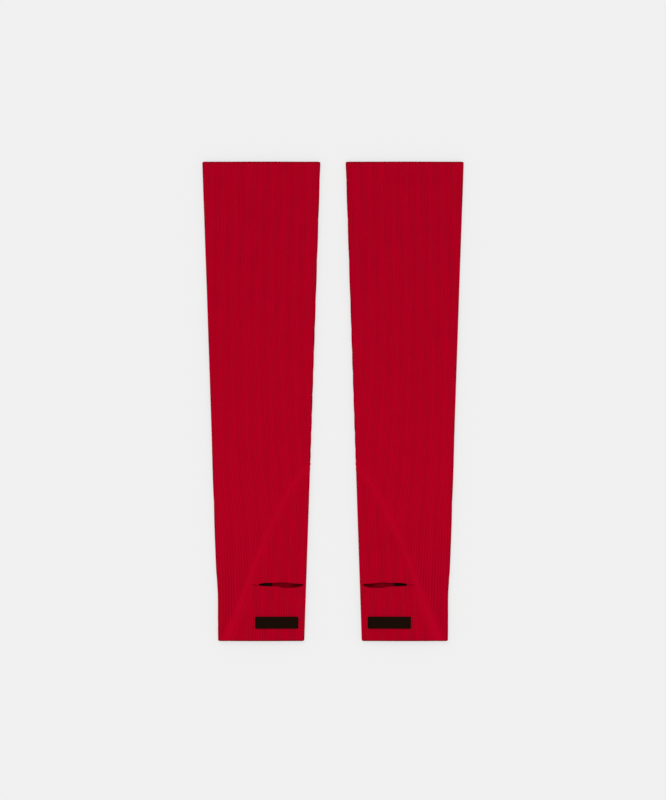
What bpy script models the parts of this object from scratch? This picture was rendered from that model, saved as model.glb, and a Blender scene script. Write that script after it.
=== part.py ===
"""A pair of ribbed compression arm sleeves, laid flat side by side on a surface.

Each sleeve is a tapering tube of rib knit, pressed flat: a main panel that wraps round the arm, a wrist
panel let in below a diagonal seam, a flat tape over each seam, a slit in the wrist panel, a woven label
below it and a dark patch inside. Metres, +Z up. The surface is z = 0, +Y runs from the wrists to the upper
arms, and x = 0 is half way between the two sleeves.
"""

import math
from collections import namedtuple

import bmesh
import bpy

MM = 0.001

# ---- driving sizes ---------------------------------------------------------------------------------------
LENGTH = 420 * MM  # wrist hem to upper-arm hem
SLEEVE_CENTRE = 62.8 * MM  # each sleeve's own centre line, from x = 0
WALL = 1.1 * MM  # the knit between its ribs
RIB_HEIGHT = 0.45 * MM
RIB_PITCH = 2.02 * MM  # the main panel's ribs, at the upper-arm hem
WRIST_RIB_PITCH = 2.03 * MM
FOLD_RADIUS = 1.6 * MM  # outer radius of the two folds at the sides
CROWN = 0.6 * MM  # how far the front layer springs up half way across
PIECE_GAP = 0.3 * MM  # between neighbouring pieces
TAPE_WIDTH = 4.6 * MM
TAPE_HEIGHT = 0.5 * MM  # the diagonal tape's middle, above the knit between the ribs
TAPE_NARROWING = 0.3  # where it stretches over the inner fold, as a share of its width
LABEL_LENGTH = 38 * MM
LABEL_WIDTH = 10.5 * MM
LABEL_THICKNESS = 0.5 * MM
LABEL_CORNER = 0.8 * MM
LABEL_ACROSS = -13.5 * MM  # the label's middle, from the sleeve's centre line
LABEL_UP = 16.2 * MM  # and above the wrist hem
PATCH_THICKNESS = 0.3 * MM
PATCH_ACROSS = (-9.4 * MM, 6.5 * MM)
PATCH_UP = (42 * MM, 56 * MM)
SLIT_ACROSS = (-37 * MM, 3.5 * MM)  # from the inner fold towards the diagonal seam
SLIT_UP = 49.4 * MM
SLIT_END_HALF = 0.25 * MM  # half the slit's opening at its two ends
BLUNT_END = 2.5 * MM  # the wrist panel's short edge beside the seam's lower end
FLATTENING = (0.32, 0.62)  # shares of the way round a fold where the ribs start to die away, and are gone

NEUTRAL_RADIUS = FOLD_RADIUS - WALL / 2
FOLD_ARC = math.pi * NEUTRAL_RADIUS
TAPE_EDGE = TAPE_WIDTH / 2
PANEL_EDGE = TAPE_EDGE + PIECE_GAP

# ---- tables, in millimetres ------------------------------------------------------------------------------
# The outline: half widths from the sleeve's centre line, towards the other sleeve and away from it.
Section = namedtuple("Section", "height inner outer")
SECTIONS = (
    Section(0, 37.7, 37.8),
    Section(20, 38.35, 37.95),
    Section(41, 39.05, 38.1),
    Section(62, 39.75, 39.6),
    Section(120, 41.7, 41.65),
    Section(220, 45.0, 45.0),
    Section(320, 48.35, 48.35),
    Section(420, 51.65, 51.65),
)

# The diagonal seam's middle: distance round the tube from the front's centre line, positive away from the
# other sleeve. Below -41 it turns over the inner fold and runs on along the back.
SeamPoint = namedtuple("SeamPoint", "height across")
DIAGONAL = (
    SeamPoint(-12, 38.1),
    SeamPoint(0, 32.6),
    SeamPoint(10, 28.1),
    SeamPoint(28, 20.3),
    SeamPoint(49, 12.1),
    SeamPoint(67, 5.2),
    SeamPoint(86, -2.9),
    SeamPoint(104, -11.0),
    SeamPoint(121, -19.2),
    SeamPoint(137, -28.6),
    SeamPoint(151, -39.2),
    SeamPoint(166, -52.0),
    SeamPoint(184, -68.5),
    SeamPoint(200, -84.0),
)

# The closing seam along the back: its middle, from the sleeve's centre line.
CLOSING = (
    SeamPoint(0, -6.0),
    SeamPoint(140, -12.0),
    SeamPoint(280, -24.5),
    SeamPoint(420, -43.5),
)

# The run of the main panel's ribs: how far they have moved towards the other sleeve, and their spread.
RibRun = namedtuple("RibRun", "height drift spread")
RIB_RUN = (
    RibRun(0, 26.0, 1.24),
    RibRun(19, 26.6, 1.24),
    RibRun(45, 26.5, 1.24),
    RibRun(71, 24.5, 1.215),
    RibRun(106, 19.6, 1.14),
    RibRun(141, 13.9, 1.085),
    RibRun(176, 10.1, 1.055),
    RibRun(211, 7.6, 1.03),
    RibRun(281, 3.7, 1.0),
    RibRun(350, 1.7, 1.0),
    RibRun(420, 0.0, 1.0),
)

# The slit's lips above and below its line, from its inner end (share 0) to the end by the seam (share 1).
Lips = namedtuple("Lips", "share above below")
SLIT_LIPS = (
    Lips(0.0, 0.25, 0.25),
    Lips(0.1, 0.8, 1.9),
    Lips(0.22, 1.1, 2.6),
    Lips(0.40, 1.85, 2.8),
    Lips(0.55, 1.9, 2.0),
    Lips(0.7, 1.65, 1.5),
    Lips(0.88, 1.5, 1.25),
    Lips(1.0, 0.25, 0.25),
)

# Rows of points along the main panel, as heights on a column that starts at the wrist hem, and along the
# wrist panel, as shares of the way up to the slit and of the way on from it.
MAIN_ROWS = (0, 16, 32, 46, 62, 80, 100, 122, 146, 172, 200, 232, 268, 306, 344, 382, 420)
LOWER_ROWS = (0.0, 0.36, 0.7)
UPPER_ROWS = (0.16, 0.36, 0.58, 0.8, 1.0)
ROWS_TURN = 0.72  # where the slit's rows go on, as a share of a column too short to reach the slit
ROWS_CLOSE = 0.02  # half their distance there, as a share of the column

# Columns of points: two for each rib, one on its crest and one in its groove, and plain ones on the back.
MAIN_RIBS = (-27, 28)  # ribs each way from the centre line, at the upper-arm hem
MAIN_INNER_COLUMNS = 3  # between the closing seam and the ribs
MAIN_OUTER_COLUMNS = 8
WRIST_INNER_COLUMNS = 5
INSIDE_EVERY = 4  # the plain inside uses one column in this many
CLOSING_STEPS = 40
LABEL_STEPS = 8
FOLD_MARGIN = 6  # rows of the tape kept close together on each side of the fold

# Across the diagonal tape: shares of its half width and of its height.
TAPE_PROFILE = ((-1.0, 0.45), (-0.55, 0.9), (0.0, 1.0), (0.55, 0.9), (1.0, 0.45))

# ---- materials -------------------------------------------------------------------------------------------
Finish = namedtuple("Finish", "name colour roughness")
KNIT = Finish("rib_knit", (0.392, 0.002, 0.013, 1.0), 0.85)
TAPE = Finish("seam_tape", (0.43, 0.003, 0.016, 1.0), 0.7)
LABEL = Finish("woven_label", (0.010, 0.008, 0.007, 1.0), 0.6)


def material(finish):
    """The material of a finish, made once."""
    found = bpy.data.materials.get(finish.name)
    if found:
        return found
    made = bpy.data.materials.new(finish.name)
    made.use_nodes = True
    shader = made.node_tree.nodes["Principled BSDF"]
    shader.inputs["Base Color"].default_value = finish.colour
    shader.inputs["Roughness"].default_value = finish.roughness
    shader.inputs["Metallic"].default_value = 0.0
    return made


# ---- curves through the tables ---------------------------------------------------------------------------
def smooth(rows, column, key):
    """A table's column at key, both in the table's units, on a smooth curve through its rows.

    The first column holds the keys. The slope at a row is that of the line between its neighbours.
    """
    keys = [row[0] for row in rows]
    values = [getattr(row, column) for row in rows]
    key = min(max(key, keys[0]), keys[-1])
    i = min(max(k for k in range(len(keys)) if keys[k] <= key), len(keys) - 2)

    def slope(k):
        low, high = max(k - 1, 0), min(k + 1, len(keys) - 1)
        return (values[high] - values[low]) / (keys[high] - keys[low])

    span = keys[i + 1] - keys[i]
    t = (key - keys[i]) / span
    rise = (1 + 2 * t) * (1 - t) ** 2 * values[i] + t * t * (3 - 2 * t) * values[i + 1]
    return rise + span * (t * (1 - t) ** 2 * slope(i) - t * t * (1 - t) * slope(i + 1))


def root(function, low, high):
    """Where a rising function crosses zero between low and high."""
    halvings = 40
    for _ in range(halvings):
        middle = (low + high) / 2
        if function(middle) < 0:
            low = middle
        else:
            high = middle
    return (low + high) / 2


# ---- the pressed tube ------------------------------------------------------------------------------------
def flat_half(height, side):
    """How far a layer's flat reaches before the fold, on the outer (side > 0) or the inner side."""
    column = "outer" if side > 0 else "inner"
    return smooth(SECTIONS, column, height / MM) * MM - FOLD_RADIUS


def fold_angle(across, height):
    """How far round its fold a place is: 0 on the front layer, pi on the back."""
    reach = abs(across) - flat_half(height, across)
    return min(max(reach / NEUTRAL_RADIUS, 0.0), math.pi)


def tube_point(across, height, lift):
    """A place on the tube as (x from the sleeve's centre line, y, z).

    across is the distance round the tube from the front's centre line, positive away from the other sleeve,
    and lift is measured outwards from the knit between the ribs.
    """
    side = 1 if across >= 0 else -1
    flat = flat_half(height, side)
    angle = fold_angle(across, height)
    if angle <= 0:
        x = abs(across)
        z = 2 * FOLD_RADIUS + CROWN * math.cos(math.pi / 2 * x / flat) ** 2 + lift
    elif angle < math.pi:
        x = flat + (FOLD_RADIUS + lift) * math.sin(angle)
        z = FOLD_RADIUS + (FOLD_RADIUS + lift) * math.cos(angle)
    else:
        x = 2 * flat + FOLD_ARC - abs(across)
        z = -lift
    return side * x, height - LENGTH / 2, z


def back_place(x, height, side):
    """The distance round the tube of a place on the back, reached over the outer (1) or inner (-1) fold."""
    return side * (2 * flat_half(height, side) + FOLD_ARC) - x


def rib_place(rib, height):
    """Where a rib of the main panel lies round the tube. rib counts from the front's centre line."""
    spread = smooth(RIB_RUN, "spread", height / MM)
    return rib * RIB_PITCH * spread - smooth(RIB_RUN, "drift", height / MM) * MM


def closing_x(height):
    """The closing seam's middle on the back."""
    return smooth(CLOSING, "across", height / MM) * MM


def beside_diagonal(offset):
    """The line at an offset from the diagonal seam's middle, away from the other sleeve where positive.

    It is returned as a function of height that gives the distance round the tube.
    """
    step = 3.0
    count = int((DIAGONAL[-1].height - DIAGONAL[0].height) / step)
    line = []
    for k in range(1, count):
        height = DIAGONAL[0].height + k * step
        across = smooth(DIAGONAL, "across", height)
        slope = smooth(DIAGONAL, "across", height + 1) - smooth(DIAGONAL, "across", height - 1)
        slope /= 2
        length = math.hypot(1, slope)
        line.append((height * MM - offset * slope / length, across * MM + offset / length))

    def across_at(height):
        k = min(max(i for i in range(len(line)) if i == 0 or line[i][0] <= height), len(line) - 2)
        (low, start), (high, end) = line[k], line[k + 1]
        return start + (end - start) * (height - low) / (high - low)

    return across_at


def reaches(place, line):
    """The height where a column's place gets past a line beside the diagonal seam."""
    return root(lambda height: place(height) - line(height), 0.0, DIAGONAL[-1].height * MM)


# ---- panels: columns of points that run along the sleeve -------------------------------------------------
# place(height) is a column's distance round the tube, and lift(place, height) is that of its outer points.
Column = namedtuple("Column", "place low high lift")


def rib_lift(share, across, height):
    """A rib's height at a place, which dies away round the fold so that the back rests flat."""
    start, end = FLATTENING
    turn = fold_angle(across, height) / math.pi
    return RIB_HEIGHT * share * min(max((end - turn) / (end - start), 0.0), 1.0)


def crest_lift(crest):
    """The lift of a rib's crest (1) or of the groove beside it (0)."""
    return lambda across, height: rib_lift(crest, across, height)


def plain_lift(_across, _height):
    """The outer points of a plain stretch."""
    return 0.0


def between(first, last, share):
    """A column's place part of the way between two others."""
    return lambda height: first(height) + (last(height) - first(height)) * share


def ends_on_fold(column, height):
    """Whether a column ends on the inner fold or close to it, where the inside needs every column."""
    reach = abs(column.place(height)) - flat_half(height, -1)
    return -MM < reach < FOLD_ARC + MM


class Wall:
    """The mesh of one piece of cloth, between its outer and inner points."""

    def __init__(self, name, mirrored, finish):
        self.name = name
        self.sign = -1 if mirrored else 1
        self.finish = finish
        self.mesh = bmesh.new()

    def vert(self, across, height, lift):
        """One point of the wall, at its place in the pair."""
        x, y, z = tube_point(across, height, lift)
        return self.mesh.verts.new((self.sign * (SLEEVE_CENTRE + x), y, z))

    def face(self, *corners):
        """One face, turned round on the mirrored sleeve so that it still points out."""
        self.mesh.faces.new(corners if self.sign > 0 else corners[::-1])

    def strip(self, fine, coarse):
        """Triangles between two lines of (position, point) that share their first and last positions."""
        i = j = 0
        while i < len(fine) - 1 or j < len(coarse) - 1:
            step_fine = j == len(coarse) - 1 or (
                i < len(fine) - 1 and fine[i + 1][0] - coarse[j][0] <= coarse[j + 1][0] - fine[i][0]
            )
            if step_fine:
                self.face(fine[i][1], coarse[j][1], fine[i + 1][1])
                i += 1
            else:
                self.face(fine[i][1], coarse[j][1], coarse[j + 1][1])
                j += 1

    def make(self):
        """The wall as an object with its material."""
        data = bpy.data.meshes.new(self.name)
        self.mesh.to_mesh(data)
        self.mesh.free()
        data.materials.append(material(self.finish))
        made = bpy.data.objects.new(self.name, data)
        bpy.context.scene.collection.objects.link(made)
        return made


def turned(lines):
    """Two lines of (position, point), run the other way."""
    end = lines[0][-1][0]
    return [[(end - position, point) for position, point in reversed(line)] for line in lines]


def build_wall(wall, columns, rows_of, kept, inner_lift, hole=None):
    """Fills a wall from its columns and returns its object.

    rows_of(column index) gives that column's heights. kept lists the columns that the plain inside uses, the
    first and last among them. hole is (row, first column, last column): between those columns, the cells
    above that row are open.
    """
    heights = [rows_of(j) for j in range(len(columns))]
    row_count, last = len(heights[0]), len(columns) - 1
    outer, inner = [], []
    for i in range(row_count):
        places = [column.place(heights[j][i]) for j, column in enumerate(columns)]
        outer.append([
            wall.vert(place, heights[j][i], columns[j].lift(place, heights[j][i]))
            for j, place in enumerate(places)
        ])
        inner.append({j: wall.vert(places[j], heights[j][i], inner_lift) for j in kept})

    def is_open(i, j):
        return hole is not None and i == hole[0] and hole[1] <= j < hole[2]

    def along_row(i, first, end):
        fine = [(j, outer[i][j]) for j in range(first, end + 1)]
        coarse = [(j, inner[i][j]) for j in kept if first <= j <= end]
        return fine, coarse

    def along_column(j, low, high):
        fine = [(i, outer[i][j]) for i in range(low, high + 1)]
        coarse = [(i, inner[i][j]) for i in range(low, high + 1)]
        return fine, coarse

    for i in range(row_count - 1):
        for j in range(last):
            if not is_open(i, j):
                wall.face(outer[i][j], outer[i][j + 1], outer[i + 1][j + 1], outer[i + 1][j])
        for j, k in zip(kept, kept[1:]):
            if not is_open(i, j):
                wall.face(inner[i][j], inner[i + 1][j], inner[i + 1][k], inner[i][k])
    wall.strip(*along_row(0, 0, last))
    wall.strip(*turned(along_row(row_count - 1, 0, last)))
    wall.strip(*turned(along_column(0, 0, row_count - 1)))
    wall.strip(*along_column(last, 0, row_count - 1))
    if hole is not None:
        row, first, end = hole
        wall.strip(*turned(along_row(row, first, end)))
        wall.strip(*along_row(row + 1, first, end))
        wall.strip(*along_column(first, row, row + 1))
        wall.strip(*turned(along_column(end, row, row + 1)))
    return wall.make()


# ---- the pieces ------------------------------------------------------------------------------------------
def main_columns():
    """The main panel's columns: from the closing seam over the inner fold, the front and the outer fold."""
    seam_line = beside_diagonal(PANEL_EDGE)

    def inner_edge(height):
        return back_place(closing_x(height) - PANEL_EDGE, height, -1)

    def outer_edge(height):
        return back_place(closing_x(height) + PANEL_EDGE, height, 1)

    def rib_line(half_rib):
        return lambda height: rib_place(half_rib / 2, height)

    first, last = (2 * count for count in MAIN_RIBS)
    places = [
        (between(inner_edge, rib_line(first), k / MAIN_INNER_COLUMNS), plain_lift)
        for k in range(MAIN_INNER_COLUMNS)
    ]
    places += [(rib_line(k), crest_lift(k % 2)) for k in range(first, last + 1)]
    places += [
        (between(rib_line(last), outer_edge, (k + 1) / MAIN_OUTER_COLUMNS), plain_lift)
        for k in range(MAIN_OUTER_COLUMNS)
    ]
    columns = []
    for place, lift in places:
        low = reaches(place, seam_line) if place(0.0) < seam_line(0.0) else 0.0
        columns.append(Column(place, low, LENGTH, lift))
    return columns


def main_panel(name, mirrored):
    """The arm's panel."""
    columns = main_columns()
    first, last = MAIN_INNER_COLUMNS, len(columns) - 1 - MAIN_OUTER_COLUMNS
    kept = [
        j for j, column in enumerate(columns)
        if not first < j < last or (j - first) % INSIDE_EVERY == 0 or ends_on_fold(column, column.low)
    ]

    def rows_of(j):
        low = columns[j].low
        return [low + (LENGTH - low) * row * MM / LENGTH for row in MAIN_ROWS]

    return build_wall(Wall(name, mirrored, KNIT), columns, rows_of, kept, -WALL)


def wrist_panel(name, mirrored):
    """The wrist: from the closing seam over the inner fold to the diagonal seam, with the slit in it."""
    seam_line = beside_diagonal(-PANEL_EDGE)

    def back_edge(height):
        return back_place(closing_x(height) - PANEL_EDGE, height, -1)

    def beside_fold(distance):
        return lambda height: -(flat_half(height, -1) + FOLD_ARC) + distance

    places = [
        (between(back_edge, beside_fold(0.0), k / WRIST_INNER_COLUMNS), plain_lift)
        for k in range(WRIST_INNER_COLUMNS)
    ]
    half_pitch = WRIST_RIB_PITCH / 2
    k = 0
    while beside_fold(k * half_pitch)(BLUNT_END) < seam_line(BLUNT_END) - half_pitch / 2:
        places.append((beside_fold(k * half_pitch), crest_lift(k % 2)))
        k += 1
    columns = [Column(place, 0.0, reaches(place, seam_line), lift) for place, lift in places]
    columns.append(Column(seam_line, 0.0, BLUNT_END, plain_lift))

    slit_length = SLIT_ACROSS[1] - SLIT_ACROSS[0]
    shares = [(column.place(SLIT_UP) - SLIT_ACROSS[0]) / slit_length for column in columns]
    inside = [j for j, share in enumerate(shares) if 0.0 <= share <= 1.0]
    ends = (inside[0], inside[-1])

    def lips(j):
        """The heights of the slit's lips on a column, or of the two close rows that carry on from them."""
        if j in ends:
            return SLIT_UP - SLIT_END_HALF, SLIT_UP + SLIT_END_HALF
        if not ends[0] < j < ends[1]:
            middle = min(SLIT_UP, ROWS_TURN * columns[j].high)
            half = min(SLIT_END_HALF, ROWS_CLOSE * columns[j].high)
            return middle - half, middle + half
        below = smooth(SLIT_LIPS, "below", shares[j]) * MM
        above = smooth(SLIT_LIPS, "above", shares[j]) * MM
        return SLIT_UP - below, SLIT_UP + above

    def rows_of(j):
        below, above = lips(j)
        rows = [below * share for share in LOWER_ROWS] + [below, above]
        return rows + [above + (columns[j].high - above) * share for share in UPPER_ROWS]

    first, last = WRIST_INNER_COLUMNS, len(columns) - 1
    kept = [
        j for j, column in enumerate(columns)
        if j <= first or (j - first) % INSIDE_EVERY == 0 or j in (*ends, last)
        or ends_on_fold(column, column.high)
    ]
    wall = Wall(name, mirrored, KNIT)
    return build_wall(wall, columns, rows_of, kept, -WALL, (len(LOWER_ROWS), *ends))


def diagonal_tape(name, mirrored):
    """The flat tape over the diagonal seam, from the wrist hem over the fold to the closing seam's tape.

    Its rows lie where the main panel's columns meet it, one in two of them away from the fold.
    """
    middle = beside_diagonal(0.0)
    meets = sorted(column.low for column in main_columns() if column.low > 0)
    fold = [k for k, height in enumerate(meets) if 0 < fold_angle(middle(height), height) < math.pi]
    close = range(fold[0] - FOLD_MARGIN, fold[-1] + FOLD_MARGIN)
    shares = [height / meets[-1] for k, height in enumerate(meets) if k % 2 == 0 or k in close]
    shares = [0.0] + shares + [1.0] * (shares[-1] < 1.0)
    columns = []
    for offset, height_share in TAPE_PROFILE:
        line = beside_diagonal(offset * TAPE_EDGE)

        def place(height, line=line):
            stretch = 1 - TAPE_NARROWING * math.sin(fold_angle(line(height), height))
            return middle(height) + (line(height) - middle(height)) * stretch

        def past_closing(height, place=place):
            return back_place(closing_x(height) - PANEL_EDGE, height, -1) - place(height)

        def lift(across, height, share=height_share):
            return TAPE_HEIGHT / RIB_HEIGHT * rib_lift(share, across, height)

        high = root(past_closing, 0.0, DIAGONAL[-1].height * MM)
        columns.append(Column(place, 0.0, high, lift))

    def rows_of(j):
        return [columns[j].high * share for share in shares]

    return build_wall(Wall(name, mirrored, TAPE), columns, rows_of, [0, len(columns) - 1], -WALL)


def back_strip(edges, low, high, lift):
    """Two columns on the back at these edges. Reached over the inner fold, the far edge comes first."""
    return [
        Column(lambda height, edge=edge: back_place(edge(height), height, -1), low, high, lift)
        for edge in reversed(edges)
    ]


def closing_tape(name, mirrored):
    """The flat tape over the closing seam, along the back from hem to hem."""
    edges = [lambda height, side=side: closing_x(height) + side * TAPE_EDGE for side in (-1, 1)]
    columns = back_strip(edges, 0.0, LENGTH, plain_lift)

    def rows_of(_column):
        return [LENGTH * k / CLOSING_STEPS for k in range(CLOSING_STEPS + 1)]

    return build_wall(Wall(name, mirrored, TAPE), columns, rows_of, [0, 1], -WALL)


def inner_patch(name, mirrored):
    """The dark patch on the inside of the back, of which the slit shows one end."""
    top = -(WALL + PIECE_GAP)
    edges = [lambda _height, x=x: x for x in PATCH_ACROSS]
    columns = back_strip(edges, *PATCH_UP, lambda *_: top)

    def rows_of(_column):
        return list(PATCH_UP)

    return build_wall(Wall(name, mirrored, LABEL), columns, rows_of, [0, 1], top - PATCH_THICKNESS)


def woven_label(name, mirrored):
    """The label: a plate with slightly rounded corners on the wrist panel, below the slit."""
    straight = LABEL_LENGTH / 2 - LABEL_CORNER
    corner = [straight + LABEL_CORNER * math.sin(angle) for angle in (math.pi / 2, math.pi / 4, 0.0)]
    middle = [straight * (2 * k / LABEL_STEPS - 1) for k in range(1, LABEL_STEPS)]
    under = RIB_HEIGHT + PIECE_GAP
    top = under + LABEL_THICKNESS
    columns = []
    for x in [-x for x in corner] + middle + corner[::-1]:
        past = max(abs(x) - straight, 0.0)
        inset = LABEL_CORNER - math.sqrt(max(LABEL_CORNER**2 - past**2, 0.0))
        low, high = LABEL_UP - LABEL_WIDTH / 2 + inset, LABEL_UP + LABEL_WIDTH / 2 - inset
        columns.append(Column(lambda _height, x=x: LABEL_ACROSS + x, low, high, lambda *_: top))

    def rows_of(j):
        return [columns[j].low, (columns[j].low + columns[j].high) / 2, columns[j].high]

    kept = list(range(len(columns)))
    return build_wall(Wall(name, mirrored, LABEL), columns, rows_of, kept, under)


def sleeve(side, mirrored):
    """One sleeve's pieces, parented to an empty at the surface."""
    carrier = bpy.data.objects.new("sleeve_" + side, None)
    bpy.context.scene.collection.objects.link(carrier)
    for make in (main_panel, wrist_panel, diagonal_tape, closing_tape, woven_label, inner_patch):
        piece = make(f"{make.__name__}_{side}", mirrored)
        piece.parent = carrier


def main():
    """Clears the scene and builds both sleeves."""
    for old in list(bpy.data.objects):
        bpy.data.objects.remove(old)
    sleeve("left", True)
    sleeve("right", False)


main()
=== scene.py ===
"""The looks of a pair of ribbed compression sleeves that lie flat, side by side, on a pale floor.

Each sleeve is a tapering tube of rib knit, pressed flat. A place on it is given by three numbers: across, the
distance round the tube from the middle of the front and positive away from the other sleeve; height, the
distance above the wrist hem; and lift, the distance outwards from the knit between the ribs. Metres, +Z up,
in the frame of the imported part: the floor is z = 0 and +Y runs from the wrists to the upper arms.
"""

import sys

import logging
import math
from dataclasses import dataclass, field
from enum import Enum
from typing import Any, Callable

import bpy
import numpy as np
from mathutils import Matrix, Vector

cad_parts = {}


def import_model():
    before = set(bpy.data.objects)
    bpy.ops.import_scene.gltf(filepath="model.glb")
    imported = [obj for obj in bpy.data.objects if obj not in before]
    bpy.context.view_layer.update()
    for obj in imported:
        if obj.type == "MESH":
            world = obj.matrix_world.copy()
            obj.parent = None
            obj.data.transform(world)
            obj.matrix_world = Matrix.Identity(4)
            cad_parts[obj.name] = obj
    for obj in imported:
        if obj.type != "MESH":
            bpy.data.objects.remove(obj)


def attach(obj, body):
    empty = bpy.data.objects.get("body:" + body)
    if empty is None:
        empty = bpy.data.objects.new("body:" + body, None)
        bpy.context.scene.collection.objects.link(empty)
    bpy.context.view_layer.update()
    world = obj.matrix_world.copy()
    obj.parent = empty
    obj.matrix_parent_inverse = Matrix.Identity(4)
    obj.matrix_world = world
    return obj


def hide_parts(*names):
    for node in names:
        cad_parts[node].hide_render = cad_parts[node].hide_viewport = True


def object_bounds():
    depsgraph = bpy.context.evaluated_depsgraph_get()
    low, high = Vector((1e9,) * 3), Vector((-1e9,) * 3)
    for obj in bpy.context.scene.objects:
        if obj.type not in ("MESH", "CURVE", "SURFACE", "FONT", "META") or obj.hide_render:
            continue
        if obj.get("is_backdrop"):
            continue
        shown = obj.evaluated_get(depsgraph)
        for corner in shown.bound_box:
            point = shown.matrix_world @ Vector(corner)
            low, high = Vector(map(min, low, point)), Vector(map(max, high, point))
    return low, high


MM = 0.001
BODY = "root"
Array = np.ndarray
Line = Callable[[Array], Array]  # the distance round the tube, as a function of height
Face = Callable[[Array, Array, Array], tuple[Array, Array]]  # lifts and shades, from rib, across and height
Colour = tuple[float, float, float]
Socket = bpy.types.NodeSocket
Node = bpy.types.Node

log =logging.getLogger("sleeves")


class Side(Enum):
    """Which sleeve of the pair. The value is the direction of its outer side along X."""

    LEFT = -1
    RIGHT = 1

    @property
    def word(self) -> str:
        """The side's name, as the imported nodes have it."""
        return self.name.lower()


class Slot(Enum):
    """The material slots."""

    KNIT = "rib_knit"
    TAPE = "seam_tape"
    LABEL = "woven_label"


# ---- curves and the pressed tube -------------------------------------------------------------------------
def smoothstep(value: Array, low: Array | float, high: Array | float) -> Array:
    """0 below low, 1 above high and a smooth rise between."""
    t = np.clip((value - low) / (high - low), 0.0, 1.0)
    return t * t * (3 - 2 * t)


@dataclass(frozen=True)
class Curve:
    """A smooth curve through points whose keys rise. The slope at a point is that of its neighbours' line."""

    keys: tuple[float, ...]
    values: tuple[float, ...]

    def at(self, key: Array) -> Array:
        """The curve's values, which stay level past its ends.

        Args:
            key: where to read it, in the keys' unit.

        Returns:
            The values there, in the values' unit.
        """
        keys, values = np.array(self.keys), np.array(self.values)
        numbers = np.arange(len(keys))
        before, after = np.maximum(numbers - 1, 0), np.minimum(numbers + 1, numbers[-1])
        slopes = (values[after] - values[before]) / (keys[after] - keys[before])
        key = np.clip(key, keys[0], keys[-1])
        i = np.clip(np.searchsorted(keys, key, side="right") - 1, 0, numbers[-1] - 1)
        span = keys[i + 1] - keys[i]
        t = (key - keys[i]) / span
        rise = (1 + 2 * t) * (1 - t) ** 2 * values[i] + t * t * (3 - 2 * t) * values[i + 1]
        return rise + span * (t * (1 - t) ** 2 * slopes[i] - t * t * (1 - t) * slopes[i + 1])


@dataclass(frozen=True)
class Swell:
    """One soft wave of the front layer: its depth, its length along and across the sleeve, and its phase."""

    depth: float
    along: float
    across: float
    phase: float


@dataclass(frozen=True)
class Dent:
    """A small hollow in the front layer, or a bump where its depth is negative. turn is in radians."""

    across: float
    height: float
    half_across: float
    half_height: float
    depth: float
    turn: float = 0.0

    def share(self, across: Array, height: Array) -> Array:
        """The part of the dent's depth that places have.

        Args:
            across: their distances round the tube.
            height: their heights.

        Returns:
            The parts: 1 in the dent's middle and near 0 past its ends.
        """
        x, y = across - self.across, height - self.height
        u = (x * math.cos(self.turn) + y * math.sin(self.turn)) / self.half_across
        v = (y * math.cos(self.turn) - x * math.sin(self.turn)) / self.half_height
        return np.exp(-(u**2) - v**2)


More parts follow.
